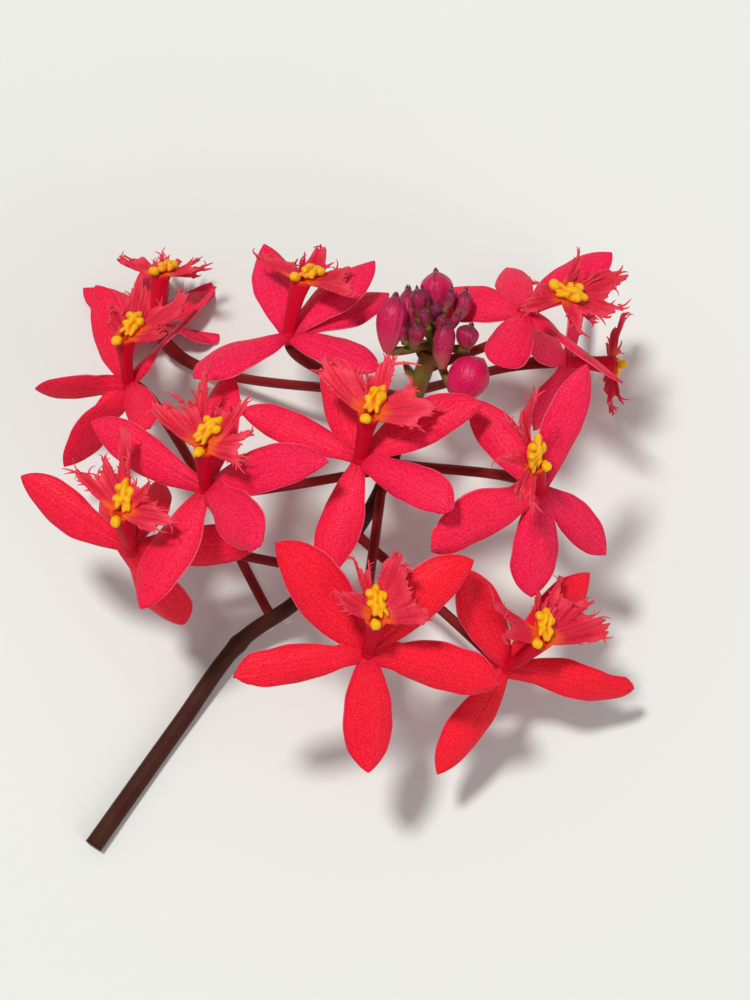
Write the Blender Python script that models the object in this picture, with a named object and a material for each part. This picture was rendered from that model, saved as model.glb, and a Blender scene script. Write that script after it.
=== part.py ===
"""Cut flowering stem of an epidendrum orchid, lying on a flat surface.

The head is laid out as it is seen from the front (x right, y up, z toward the
viewer, in millimetres) and is then tipped back so that it lies on its rear
flowers and on its stem.  Every flower has five tepals, a tube ending in a
fringed lip of three lobes, and a yellow callus with the anther cap.
"""
import math
import random

import bpy
import numpy as np

MM = 0.001

# Overall pose of the head
LOOK_DOWN = 72.0
MIDDLE_HEIGHT = 35.0
SHIFT_X = 5.7
SHIFT_Y = -3.6

# Tepal sizes: reach, width
SEPAL_REACH = 19.0
SEPAL_WIDTH = 6.9
PETAL_REACH = 18.5
PETAL_WIDTH = 6.1
DORSAL_REACH = 17.5
DORSAL_WIDTH = 6.9
BLADE = 0.65
BASE_HALF_WIDTH = 1.05
TIP_HALF_WIDTH = 0.35

# Tube, lip and callus
TUBE_TILT = 40.0
TUBE_LENGTH = 8.2
TUBE_START = 1.15
TUBE_END = 2.1
HUB = 1.5
LIP_REACH = 7.6
LIP_INNER = 1.0
TEETH = 4
SINUS = 3.0
GAP = 0.35

# Stem
STEM_RADIUS = 1.35
PEDICEL_RADIUS = 0.72
OVARY_RADIUS = 1.0

# Each flower: centre, facing (right, up), roll of the lip to the right, size,
# and the five tepal tips measured from the centre (right, up, optional near).
# ls and rs are the sepals beside the lip, lp and rp the petals, ds the sepal
# opposite the lip.  A fourth number turns the blade about its own length.
FLOWERS = {
    "front": dict(
        at=(-2.1, 5.8, 0.0), face=(-13, 9), roll=25, size=1.0, lobes=(0.95, 1.15, 1.05),
        ls=(-4.8, 15.6, -9.0), rs=(17.2, 7.6), lp=(-16.9, 6.9), rp=(12.7, -7.2), ds=(-5.4, -16.8)),
    "low_middle": dict(
        at=(-1.0, -21.2, 4.0), face=(7, -10), roll=3, size=1.03, lobes=(0.8, 0.95, 0.95),
        ls=(-12.8, 15.4), rs=(14.8, 12.7), lp=(-18.6, -3.4), rp=(18.3, -4.9), ds=(0.0, -17.0)),
    "right": dict(
        at=(23.3, 1.4, 0.0), face=(11, -16), roll=-25, size=1.0, lobes=(0.9, 1.1, 0.6),
        ls=(-9.6, 12.8, -4.0), rs=(6.3, 17.5), lp=(-15.5, -8.5, 3.0), rp=(9.9, -9.2), ds=(-1.0, -15.2)),
    "low_right": dict(
        at=(19.1, -24.1, -10.0), face=(20, -14), roll=22, size=1.05, lobes=(1.0, 1.05, 1.1),
        ls=(-6.4, 14.2), rs=(11.8, 13.6), lp=(-12.5, -0.5, -6.0), rp=(19.0, -3.7),
        ds=(-10.3, -15.3)),
    "upper_left": dict(
        at=(-23.8, 1.6, 0.0), face=(-31, 6), roll=33, size=1.04, lobes=(0.95, 1.15, 0.95),
        ls=(2.8, 16.6), rs=(17.2, 3.7), lp=(-16.6, 9.6), rp=(7.9, -7.9), ds=(-9.3, -16.9)),
    "far_left": dict(
        at=(-34.8, -6.8, -4.0), face=(-14, -9), roll=8, size=1.05, lobes=(1.0, 1.3, 0.95),
        curl=14,
        ls=(-4.8, 10.5, -14.0), rs=(3.0, 9.5, -15.0), lp=(-15.6, 10.3), rp=(18.0, 0.5, -5.0),
        ds=(6.9, -11.3, -9.0)),
    "top_left": dict(
        at=(-36.5, 17.3, -22.0), face=(-22, 11), roll=16, size=1.0, lobes=(0.95, 1.05, 0.95),
        ls=(-5.3, 14.8), rs=(13.0, 14.2, -1.0, 60), lp=(-13.9, -0.8, 0.0, 65),
        rp=(4.2, -7.0, 14.0), ds=(-10.1, -12.2, -3.0, 70)),
    "top_middle": dict(
        at=(-12.5, 23.7, -8.0), face=(-14, 37), roll=24, size=1.0, lobes=(0.95, 1.0, 0.95),
        ls=(-3.7, 13.6), rs=(12.5, 10.8), lp=(-13.0, -6.4), rp=(12.8, -5.4, 5.5), ds=(14.5, 6.5, -8.5)),
    "top_right": dict(
        at=(21.8, 27.3, -12.0), face=(-8, 28), roll=93, size=1.0, lobes=(0.95, 1.1, 0.95),
        ls=(13.0, 9.0, -6.0), rs=(14.0, -10.4, 0.0, 60), lp=(-2.2, 7.5, -13.0),
        rp=(-4.4, -8.3, 10.0), ds=(-14.0, 2.5)),
    "rear_right": dict(
        at=(29.0, 21.0, -31.0), face=(65, 0), roll=95, size=0.95, lobes=(0.9, 0.9, 0.9), teeth=3,
        ls=(-7.0, 4.0, 13.0), rs=(3.0, 13.0, -9.0), lp=(-5.5, -10.5, 6.0),
        rp=(3.5, -1.0, -12.6), ds=(-1.0, -11.0, -8.0)),
    "rear_left": dict(
        at=(-33.5, 26.8, -37.0), face=(-20, 40), roll=10, size=0.95, lobes=(0.9, 0.9, 0.9), teeth=3,
        ls=(-2.5, 10.0), rs=(7.8, 6.8), lp=(-12.0, 6.0), rp=(9.0, -2.5, -12.0),
        ds=(-7.0, -4.0, -12.0)),
}

# Where each flower's stalk leaves the stem (place along the stem, 0 to 1)
STALKS = {
    "front": 0.80, "low_middle": 0.70, "right": 0.74, "low_right": 0.62,
    "upper_left": 0.73, "far_left": 0.55, "top_left": 0.42, "top_middle": 0.84,
    "top_right": 0.93, "rear_right": 0.88, "rear_left": 0.86,
}

# The stem's path from the cut end to the top of the head
STEM_PATH = [
    (-41.5, -51.0), (-29.5, -34.0), (-20.5, -21.6, -26.0), (-10.5, -14.0, -23.0),
    (-0.5, -1.0, -20.0), (5.0, 13.0, -16.0), (8.0, 21.5, -12.5)]

# Buds: middle, direction the tip points (right, up, near), length, thickness
BUDS = [
    ((2.4, 25.2, -8.0), (0.15, 1.0, 0.1), 8.6, 4.3),
    ((4.8, 26.8, -11.5), (0.0, 1.0, -0.1), 8.0, 3.2),
    ((8.8, 30.0, -13.0), (0.0, 1.0, 0.0), 6.6, 4.8),
    ((6.2, 28.3, -9.0), (-0.1, 1.0, 0.4), 4.6, 2.4),
    ((8.8, 27.0, -8.2), (0.1, 0.8, 0.8), 3.4, 1.9),
    ((12.4, 28.2, -12.0), (0.35, 1.0, 0.0), 4.8, 2.7),
    ((5.6, 23.6, -6.5), (0.1, 0.9, 0.6), 3.8, 2.4),
    ((10.1, 22.2, -8.0), (0.1, 1.0, 0.2), 7.2, 3.1),
    ((13.6, 23.4, -9.0), (0.1, 0.9, 0.4), 3.8, 3.3),
    ((13.6, 17.2, -9.0), (0.4, 0.9, 0.1), 6.4, 6.0),
]


def unit(v):
    v = np.asarray(v, float)
    return v / np.linalg.norm(v)


def axes(face, roll):
    """Side, lip-ward and outward directions of a flower."""
    a = math.radians(face[0])
    e = math.radians(face[1])
    r = math.radians(roll)
    out = np.array([math.sin(a) * math.cos(e), math.sin(e), math.cos(a) * math.cos(e)])
    x = unit(np.cross((0.0, 1.0, 0.0), out))
    y = np.cross(out, x)
    return math.cos(r) * x - math.sin(r) * y, math.sin(r) * x + math.cos(r) * y, out


def tip_vector(tip, out, reach):
    """Tip offset with its depth: in the flower's own plane, held near its reach."""
    if len(tip) > 2 and tip[2] is not None:
        return np.array(tip[:3], float)
    flat = tip[0] ** 2 + tip[1] ** 2
    plane = -(out[0] * tip[0] + out[1] * tip[1]) / max(out[2], 0.2)
    least = math.sqrt(max((0.9 * reach) ** 2 - flat, 0.0))
    most = math.sqrt(max((1.06 * reach) ** 2 - flat, 0.0))
    depth = math.copysign(min(max(abs(plane), least), most), plane if plane else -1.0)
    return np.array([tip[0], tip[1], depth])


def half_width(u, width):
    """Half width of a tepal: narrow claw, broadest past the middle, short point."""
    u = np.clip(u, 0.0, 1.0)
    top = 0.58 ** 0.95 * 0.42 ** 0.62
    blade = width / 2 * (u ** 0.95 * (1 - u) ** 0.62) / top
    return np.maximum(blade + BASE_HALF_WIDTH * (1 - u) ** 5, TIP_HALF_WIDTH * u ** 3)


def tepal_points(centre, tip, out, width, turn, bend, cup, rows, cols):
    """Middle surface of one tepal from the flower's centre to its tip."""
    along = unit(tip)
    reach = np.linalg.norm(tip)
    face = unit(out - np.dot(out, along) * along)
    side = np.cross(along, face)
    t = math.radians(turn)
    u = rows[:, None]
    v = cols[None, :]
    angle = t * np.clip(u * 3.0, 0, 1)
    w = half_width(u, width)
    across = w * v
    lift = cup * w * v ** 2 + bend * reach * 4 * u * (1 - u)
    return (centre + (u * reach)[..., None] * along
            + (across * np.cos(angle) + 0 * v)[..., None] * side
            + (across * np.sin(angle) + lift)[..., None] * face)


def lip_points(base, side, up, out, reaches, curls, teeth, seed):
    """Middle surface of the lip: three fringed lobes fanned round the tube's mouth."""
    rng = random.Random(seed)
    columns = 2 * teeth
    angles = []
    edges = []
    rises = []
    for (middle, spread), reach, curl in zip(LOBES, reaches, curls):
        for k in range(columns + 1):
            v = 2 * k / columns - 1
            if k == 0 and angles:
                continue
            edge = reach * (1 - 0.14 * v ** 2)
            edge += (-0.9 if k % 2 == 0 else 0.6) + rng.uniform(-0.35, 0.35)
            if k in (0, columns):
                edge = SINUS
            angles.append(math.radians(middle + v * spread))
            edges.append(edge)
            rises.append(math.sin(math.radians(curl)) * (1 - abs(v) ** 3) / reach)
    angles = np.array(angles)
    edges = np.array(edges)
    rises = np.array(rises)
    edges = np.maximum(edges, SINUS)
    smooth = np.convolve(np.pad(edges, 1, mode="edge"), (0.25, 0.5, 0.25), mode="valid")
    rows = []
    for r in (LIP_INNER + 0 * edges, np.minimum(0.58 * smooth, edges - 1.1), edges):
        rows.append(base + (np.sin(angles) * r)[:, None] * side + (np.cos(angles) * r)[:, None] * up
                    + (rises * r * np.maximum(r - 2.0, 0.0))[:, None] * out)
    return np.array(rows)


def flower_frame(f):
    side, lip, out = axes(f["face"], f["roll"])
    t = math.radians(TUBE_TILT)
    tube = math.cos(t) * out + math.sin(t) * lip
    up = math.cos(t) * lip - math.sin(t) * out
    return side, lip, out, tube, up


def to_world(p):
    """Tip the head back so that it lies on the surface; millimetres to metres."""
    e = math.radians(LOOK_DOWN)
    p = np.asarray(p, float)
    x = p[..., 0] + SHIFT_X
    y = p[..., 1] * math.sin(e) - p[..., 2] * math.cos(e) + SHIFT_Y
    z = p[..., 1] * math.cos(e) + p[..., 2] * math.sin(e) + MIDDLE_HEIGHT
    return np.stack([x, y, z], -1) * MM


def height_of(p):
    return to_world(p)[..., 2] / MM


def rest_on_surface(points, clearance):
    """Raise whatever would dip below the surface."""
    e = math.radians(LOOK_DOWN)
    short = np.maximum(clearance - height_of(points), 0.0)
    push = np.array([0.0, math.cos(e), math.sin(e)])
    return points + short[..., None] * push


def grid_normals(p):
    du = np.gradient(p, axis=0)
    dv = np.gradient(p, axis=1)
    n = np.cross(dv, du)
    return n / np.maximum(np.linalg.norm(n, axis=-1, keepdims=True), 1e-9)


def blade_mesh(p, thick):
    """A closed thin sheet about a grid of points, split alike on both faces."""
    n = grid_normals(p)
    nu, nv = p.shape[:2]
    verts = np.concatenate([(p + n * thick / 2).reshape(-1, 3), (p - n * thick / 2).reshape(-1, 3)])
    faces = []
    low = nu * nv
    for i in range(nu - 1):
        for j in range(nv - 1):
            a = i * nv + j
            b = a + 1
            c = a + nv
            d = c + 1
            faces += [(a, b, d), (a, d, c), (low + a, low + d, low + b), (low + a, low + c, low + d)]
    rim = [j for j in range(nv)] + [i * nv + nv - 1 for i in range(1, nu)]
    rim += [(nu - 1) * nv + j for j in range(nv - 2, -1, -1)] + [i * nv for i in range(nu - 2, 0, -1)]
    for a, b in zip(rim, rim[1:] + rim[:1]):
        faces += [(a, low + b, b), (a, low + a, low + b)]
    return verts, faces


def fan_mesh(apex, p, thick):
    """A closed thin sheet fanned out from one point, split alike on both faces."""
    n = grid_normals(p)
    mid = unit(n[0].mean(axis=0))
    nu, nv = p.shape[:2]
    low = nu * nv + 1
    top = np.concatenate([[apex + mid * thick / 2], (p + n * thick / 2).reshape(-1, 3)])
    under = np.concatenate([[apex - mid * thick / 2], (p - n * thick / 2).reshape(-1, 3)])
    faces = []
    for j in range(nv - 1):
        faces += [(0, 2 + j, 1 + j), (low, low + 1 + j, low + 2 + j)]
    for i in range(nu - 1):
        for j in range(nv - 1):
            a = 1 + i * nv + j
            b = a + 1
            c = a + nv
            d = c + 1
            faces += [(a, b, d), (a, d, c), (low + a, low + d, low + b), (low + a, low + c, low + d)]
    rim = [0] + [1 + i * nv + nv - 1 for i in range(nu)]
    rim += [1 + (nu - 1) * nv + j for j in range(nv - 2, -1, -1)] + [1 + i * nv for i in range(nu - 2, -1, -1)]
    for a, b in zip(rim, rim[1:] + rim[:1]):
        faces += [(a, low + b, b), (a, low + a, low + b)]
    return np.concatenate([top, under]), faces


def tube_mesh(path, radii, sides):
    """A closed round tube along a path."""
    path = np.asarray(path, float)
    tangent = np.gradient(path, axis=0)
    tangent /= np.linalg.norm(tangent, axis=1, keepdims=True)
    a = np.cross(tangent[0], (0.31, 0.22, 0.93))
    a = unit(a)
    verts = []
    for k in range(len(path)):
        a = unit(a - np.dot(a, tangent[k]) * tangent[k])
        b = np.cross(tangent[k], a)
        for s in range(sides):
            t = 2 * math.pi * s / sides
            verts.append(path[k] + radii[k] * (math.cos(t) * a + math.sin(t) * b))
    faces = []
    for k in range(len(path) - 1):
        for s in range(sides):
            p = k * sides + s
            q = k * sides + (s + 1) % sides
            faces += [(p, q, q + sides), (p, q + sides, p + sides)]
    last = (len(path) - 1) * sides
    for s in range(1, sides - 1):
        faces += [(0, s + 1, s), (last, last + s, last + s + 1)]
    return np.array(verts), faces


def egg_mesh(centre, along, length, thick, point, sides, rings, flat=1.0, side=None):
    """An egg shape with its narrow end toward `along`."""
    along = unit(along)
    ref = np.array([0.3, 0.5, 0.8]) if side is None else np.asarray(side, float)
    a = unit(ref - np.dot(ref, along) * along)
    b = np.cross(along, a)
    verts = [centre - along * length / 2]
    for k in range(1, rings):
        t = k / rings
        h = -math.cos(math.pi * t) * length / 2
        r = thick / 2 * math.sin(math.pi * t) ** 0.9 * (1 - point * (t - 0.35))
        for s in range(sides):
            q = 2 * math.pi * (s + 0.5 * (k % 2)) / sides
            verts.append(centre + along * h + r * (math.cos(q) * a + flat * math.sin(q) * b))
    verts.append(centre + along * length / 2)
    faces = []
    for s in range(sides):
        faces.append((0, 1 + (s + 1) % sides, 1 + s))
    for k in range(rings - 2):
        for s in range(sides):
            p = 1 + k * sides + s
            q = 1 + k * sides + (s + 1) % sides
            faces += [(p, q, q + sides), (p, q + sides, p + sides)]
    last = len(verts) - 1
    for s in range(sides):
        base = 1 + (rings - 2) * sides
        faces.append((last, base + s, base + (s + 1) % sides))
    return np.array(verts), faces


ROWS = np.array([0.0, 0.16, 0.38, 0.62, 0.84, 1.0])
COLS = np.array([-1.0, 0.0, 1.0])
TEPALS = {
    "ls": (SEPAL_REACH, SEPAL_WIDTH), "rs": (SEPAL_REACH, SEPAL_WIDTH),
    "lp": (PETAL_REACH, PETAL_WIDTH), "rp": (PETAL_REACH, PETAL_WIDTH),
    "ds": (DORSAL_REACH, DORSAL_WIDTH),
}
LOBES = ((-75, 45), (0, 30), (75, 45))


def flower_blades(name, rows=ROWS, cols=COLS):
    """Middle surfaces of the five tepals of one flower."""
    f = FLOWERS[name]
    side, lip, out, tube, up = flower_frame(f)
    centre = np.array(f["at"], float)
    blades = {}
    for key, (reach, width) in TEPALS.items():
        tip = tip_vector(f[key], out, reach * f["size"])
        turn = f[key][3] if len(f[key]) > 3 else 0.0
        p = tepal_points(centre, tip, out, width * f["size"], turn, 0.045, -0.14, rows, cols)
        blades[key] = rest_on_surface(p, 0.36)
    return blades


def flower_lip(name):
    f = FLOWERS[name]
    side, lip, out, tube, up = flower_frame(f)
    base = np.array(f["at"], float) + f["size"] * (TUBE_LENGTH * tube + 1.1 * up)
    reaches = [LIP_REACH * f["size"] * k for k in f["lobes"]]
    curls = (6.0, f.get("curl", -8.0), 6.0)
    return lip_points(base, side, up, tube, reaches, curls, f.get("teeth", TEETH), name)


def flower_solids(name):
    f = FLOWERS[name]
    side, lip, out, tube, up = flower_frame(f)
    centre = np.array(f["at"], float)
    size = f["size"]
    parts = [blade_mesh(p, BLADE) for p in flower_blades(name).values()]
    sheet = flower_lip(name)
    parts.append(fan_mesh(centre + size * (TUBE_LENGTH * tube + 1.1 * up), sheet[1:], BLADE))
    parts.append(egg_mesh(centre, out, 2.2 * HUB, 2 * HUB, 0.0, 7, 3))
    mouth = size * TUBE_LENGTH + 0.1
    path = [centre + tube * t * mouth + up * 1.0 * size * t ** 3 for t in (0.0, 0.6, 1.0)]
    parts.append(tube_mesh(path, [TUBE_START, 1.45, TUBE_END], 7))
    return parts


def callus_solids(name):
    f = FLOWERS[name]
    side, lip, out, tube, up = flower_frame(f)
    centre = np.array(f["at"], float)
    s = f["size"]

    def at(d, u, x):
        return centre + s * (TUBE_LENGTH * tube + 1.1 * up) + d * tube + u * up + x * side
    lift = BLADE / 2 + GAP
    return [
        egg_mesh(at(lift + 0.95, -2.1, 0.0), tube, 1.8, 1.7, 0.0, 6, 3),
        egg_mesh(at(lift + 0.75, -0.5, 0.0), up, 3.0, 1.5, 0.0, 6, 3),
        egg_mesh(at(lift + 1.0, 1.4, -0.75), up - 0.3 * side, 3.2, 1.6, 0.2, 6, 3),
        egg_mesh(at(lift + 1.0, 1.4, 0.75), up + 0.3 * side, 3.2, 1.6, 0.2, 6, 3),
        egg_mesh(at(lift + 1.2, 2.1, 0.0), up, 3.4, 1.5, 0.3, 6, 3),
    ]


def stem_point(t):
    """Smooth path of the main stem, 0 at the cut end and 1 at the head's top."""
    e = math.radians(LOOK_DOWN)
    pts = []
    for p in STEM_PATH:
        z = p[2] if len(p) > 2 else (STEM_RADIUS - 0.12 - MIDDLE_HEIGHT - p[1] * math.cos(e)) / math.sin(e)
        pts.append((p[0], p[1], z))
    pts = np.array(pts)
    n = len(pts) - 1
    x = min(max(t, 0.0), 1.0) * n
    k = min(int(x), n - 1)
    q = x - k
    a = pts[max(k - 1, 0)]
    b = pts[k]
    c = pts[k + 1]
    d = pts[min(k + 2, n)]
    return 0.5 * (2 * b + (c - a) * q + (2 * a - 5 * b + 4 * c - d) * q ** 2
                  + (3 * b - a - 3 * c + d) * q ** 3)


def stalk_path(name, count=7):
    """Curve from the stem to just behind a flower, arriving along its axis."""
    f = FLOWERS[name]
    side, lip, out, tube, up = flower_frame(f)
    start = stem_point(STALKS[name])
    end = np.array(f["at"], float) - out * (1.1 * HUB + 0.6)
    reach = np.linalg.norm(end - start)
    m0 = (end - start) * 0.9 + np.array([0.0, 0.0, -0.25 * reach])
    m1 = out * reach * 0.9
    t = np.linspace(0, 1, count)[:, None]
    return ((2 * t ** 3 - 3 * t ** 2 + 1) * start + (t ** 3 - 2 * t ** 2 + t) * m0
            + (3 * t ** 2 - 2 * t ** 3) * end + (t ** 3 - t ** 2) * m1)


def stem_solids():
    t = np.linspace(0, 1, 19)
    path = np.array([stem_point(x) for x in t])
    radii = STEM_RADIUS * (1.0 - 0.35 * t)
    radii += 0.25 * np.exp(-((t - 0.333) / 0.02) ** 2)
    verts, faces = tube_mesh(path, radii, 8)
    verts = rest_on_surface(verts, 0.0)
    parts = [(verts, faces)]
    for name in FLOWERS:
        p = rest_on_surface(stalk_path(name), 1.2)
        r = np.full(len(p), PEDICEL_RADIUS)
        r[-3:] = (PEDICEL_RADIUS * 1.15, OVARY_RADIUS * 1.05, OVARY_RADIUS)
        parts.append(tube_mesh(p, r, 6))
    return parts


def bud_solids():
    top = stem_point(1.0)
    away = unit(stem_point(1.0) - stem_point(0.97))
    start = top + away * GAP
    parts = [tube_mesh([start, start + away * 2.5 + np.array([0, 0.6, 0]), start + away * 5.0], [0.95, 0.9, 0.5], 6)]
    for middle, way, length, thick in BUDS:
        way = unit(way)
        middle = np.array(middle, float)
        parts.append(egg_mesh(middle, way, length, thick, 0.55, 7, 5))
        foot = middle - way * length * 0.42
        root = start + away * 1.6
        bow = (foot + root) / 2 - way * 1.0
        parts.append(tube_mesh([root, bow, foot], [0.5, 0.5, 0.55], 5))
    return parts


# Blender objects

COLOURS = {
    "crimson_tepal": (0.62, 0.02, 0.06, 1.0),
    "yellow_callus": (0.85, 0.50, 0.02, 1.0),
    "maroon_stem": (0.10, 0.015, 0.02, 1.0),
    "magenta_bud": (0.42, 0.02, 0.12, 1.0),
}


def make_material(name):
    mat = bpy.data.materials.new(name)
    mat.use_nodes = True
    shader = mat.node_tree.nodes["Principled BSDF"]
    shader.inputs["Base Color"].default_value = COLOURS[name]
    shader.inputs["Roughness"].default_value = 0.5
    return mat


def fuse(name, parts, material):
    """Union a list of closed solids into one named object."""
    group = bpy.data.collections.new(name + "_parts")
    bpy.context.scene.collection.children.link(group)
    first = None
    for k, (verts, faces) in enumerate(parts):
        mesh = bpy.data.meshes.new(name if k == 0 else name + "_piece")
        mesh.from_pydata([tuple(v) for v in to_world(verts)], [], faces)
        mesh.validate()
        obj = bpy.data.objects.new(name if k == 0 else name + "_piece", mesh)
        mesh.materials.append(material)
        if k == 0:
            bpy.context.scene.collection.objects.link(obj)
            first = obj
        else:
            group.objects.link(obj)
    mod = first.modifiers.new("union", "BOOLEAN")
    mod.operation = "UNION"
    mod.operand_type = "COLLECTION"
    mod.collection = group
    mod.solver = "EXACT"
    bpy.context.view_layer.objects.active = first
    bpy.ops.object.modifier_apply(modifier=mod.name)
    for obj in list(group.objects):
        bpy.data.objects.remove(obj)
    bpy.data.collections.remove(group)
    return first


def main():
    for obj in list(bpy.data.objects):
        bpy.data.objects.remove(obj)
    mats = {name: make_material(name) for name in COLOURS}
    fuse("stem", stem_solids(), mats["maroon_stem"])
    fuse("bud_cluster", bud_solids(), mats["magenta_bud"])
    for name in FLOWERS:
        fuse("bloom_" + name, flower_solids(name), mats["crimson_tepal"])
        fuse("callus_" + name, callus_solids(name), mats["yellow_callus"])


main()
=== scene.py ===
"""Flower head of an epidendrum orchid, cut and laid on a pale floor.

Shapes are worked out as the head is seen from the front: x right, y up and
z toward the viewer, in millimetres.  `to_world` tips them back so that the
head lies on the floor, and gives metres.
"""
import math
import random

import bpy
import numpy as np
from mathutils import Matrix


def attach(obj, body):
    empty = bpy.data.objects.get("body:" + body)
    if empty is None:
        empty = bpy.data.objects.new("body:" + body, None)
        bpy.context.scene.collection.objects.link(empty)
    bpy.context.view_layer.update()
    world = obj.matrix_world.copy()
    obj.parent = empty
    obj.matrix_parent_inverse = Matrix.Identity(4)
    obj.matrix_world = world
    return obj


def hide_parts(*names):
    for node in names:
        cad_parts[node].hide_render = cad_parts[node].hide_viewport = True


bl_info = {
    "name": "Epidendrum flower head",
    "version": (1, 0, 0),
    "blender": (4, 5, 0),
    "location": "3D View > Sidebar > Orchid",
    "description": "Builds the flowers, buds and stem of an epidendrum orchid on its solids",
    "category": "Add Mesh",
}

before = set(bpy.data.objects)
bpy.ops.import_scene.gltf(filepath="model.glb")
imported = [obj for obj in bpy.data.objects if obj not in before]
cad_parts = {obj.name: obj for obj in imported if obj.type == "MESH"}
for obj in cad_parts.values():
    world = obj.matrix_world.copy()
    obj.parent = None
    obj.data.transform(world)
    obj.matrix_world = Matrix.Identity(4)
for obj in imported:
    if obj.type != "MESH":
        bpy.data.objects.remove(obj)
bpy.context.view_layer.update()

MM = 0.001

# Pose of the head, as in the part's source
LOOK_DOWN = math.radians(72.0)
MIDDLE_HEIGHT = 35.0
SHIFT_X = 5.7
SHIFT_Y = -3.6
VIEW_DISTANCE = 420.0
FRAME_HEIGHT = 141.0

SIZES = {"ls": 19.0, "rs": 19.0, "lp": 18.5, "rp": 18.5, "ds": 17.5}
BASE_HALF_WIDTH = 1.05
TUBE_TILT = math.radians(40.0)
TUBE_LENGTH = 8.2
HUB = 1.5
STEM_RADIUS = 1.35
STALK_RADIUS = 0.72
OVARY_RADIUS = 1.0

# Stem: share by which it thins, places of its joints from 0 at the cut to 1 at the top, how
# far a joint stands out, and half its length
STEM_TAPER = 0.35
STEM_JOINTS = (0.333, 0.55, 0.72)
JOINT_SWELL = 0.22
JOINT_LENGTH = 0.012

# Tepals: cup as a share of the half width, arch as a share of the length, depth of the
# midrib, share of the full width that a ragged tip keeps, and the gap kept to the floor
CUP = 0.30
ARCH = 0.045
MIDRIB = 0.13
RAGGED_WIDTH = 0.60
FLOOR_GAP = 0.30

# Lips: shares of a lobe's reach and half width, in the tables below, that its blade has
LOBE_REACH = 0.90
LOBE_SPREAD = 1.28

# A way that no path follows: it sets where the circle of a tube starts
HINT = np.array([0.31, 0.22, 0.93])

# Stage: where the lamps point, reach of the floor in metres, light of the room, height of
# the camera's sensor, and for each lamp its way from the head, distance and size in metres,
# power in watts and colour
AIM = (-2.0, 0.0, -8.0)
FLOOR_REACH = 2.5
ROOM_LIGHT = 0.36
SENSOR = 24.0
LAMPS = {
    "key": ((-0.24, 0.42, 0.87), 2.6, 0.38, 48.0, (1.0, 0.99, 0.965)),
    "fill": ((0.62, -0.45, 0.64), 2.4, 1.8, 15.0, (0.97, 0.98, 1.0)),
}

# Flowers: centre, facing and roll of the lip in degrees, size, how orange the red is, the
# tips of the five tepals measured from the centre, some with a depth and a turn in degrees,
# and the tepals with ragged tips
FLOWERS = {
    "front": dict(
        at=(-2.1, 5.8, 0.0), face=(-13, 9), roll=25, size=1.0, warm=0.35,
        ls=(-4.8, 15.6, -9.0), rs=(17.2, 7.6), lp=(-16.9, 6.9), rp=(12.7, -7.2), ds=(-5.4, -16.8),
        blunt=("rp",)),
    "low_middle": dict(
        at=(-1.0, -21.2, 4.0), face=(7, -10), roll=3, size=1.03, warm=0.9,
        ls=(-12.8, 15.4), rs=(14.8, 12.7), lp=(-18.6, -3.4), rp=(18.3, -4.9), ds=(0.0, -17.0),
        blunt=("lp", "rp")),
    "right": dict(
        at=(23.3, 1.4, 0.0), face=(11, -16), roll=-25, size=1.0, warm=0.25,
        ls=(-9.6, 12.8, -4.0), rs=(6.3, 17.5), lp=(-15.5, -8.5, 3.0), rp=(9.9, -9.2), ds=(-1.0, -15.2),
        blunt=("lp",)),
    "low_right": dict(
        at=(19.1, -24.1, -10.0), face=(20, -14), roll=22, size=1.05, warm=1.0,
        ls=(-6.4, 14.2), rs=(11.8, 13.6), lp=(-12.5, -0.5, -6.0), rp=(19.0, -3.7),
        ds=(-10.3, -15.3), blunt=("rp",)),
    "upper_left": dict(
        at=(-23.8, 1.6, 0.0), face=(-31, 6), roll=33, size=1.04, warm=0.3,
        ls=(2.8, 16.6), rs=(17.2, 3.7), lp=(-16.6, 9.6), rp=(7.9, -7.9), ds=(-9.3, -16.9),
        blunt=("rp",)),
    "far_left": dict(
        at=(-34.8, -6.8, -4.0), face=(-14, -9), roll=8, size=1.05, warm=0.75,
        ls=(-4.8, 10.5, -14.0), rs=(3.0, 9.5, -15.0), lp=(-15.6, 10.3), rp=(18.0, 0.5, -5.0),
        ds=(6.9, -11.3, -9.0), blunt=("ds",)),
    "top_left": dict(
        at=(-36.5, 17.3, -22.0), face=(-22, 11), roll=16, size=1.0, warm=0.6,
        ls=(-5.3, 14.8), rs=(13.0, 14.2, -1.0, 60), lp=(-13.9, -0.8, 0.0, 65),
        rp=(4.2, -7.0, 14.0), ds=(-10.1, -12.2, -3.0, 70)),
    "top_middle": dict(
        at=(-12.5, 23.7, -8.0), face=(-14, 37), roll=24, size=1.0, warm=0.05,
        ls=(-3.7, 13.6), rs=(12.5, 10.8), lp=(-13.0, -6.4), rp=(12.8, -5.4, 5.5), ds=(14.5, 6.5, -8.5)),
    "top_right": dict(
        at=(21.8, 27.3, -12.0), face=(-8, 28), roll=93, size=1.0, warm=0.2,
        ls=(13.0, 9.0, -6.0), rs=(14.0, -10.4, 0.0, 60), lp=(-2.2, 7.5, -13.0),
        rp=(-4.4, -8.3, 10.0), ds=(-14.0, 2.5)),
    "rear_right": dict(
        at=(29.0, 21.0, -31.0), face=(65, 0), roll=95, size=0.95, warm=0.2,
        ls=(-7.0, 4.0, 13.0), rs=(3.0, 13.0, -9.0), lp=(-5.5, -10.5, 6.0),
        rp=(3.5, -1.0, -12.6), ds=(-1.0, -11.0, -8.0)),
    "rear_left": dict(
        at=(-33.5, 26.8, -37.0), face=(-20, 40), roll=10, size=0.95, warm=0.3,
        ls=(-2.5, 10.0), rs=(7.8, 6.8), lp=(-12.0, 6.0), rp=(9.0, -2.5, -12.0),
        ds=(-7.0, -4.0, -12.0)),
}

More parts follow.
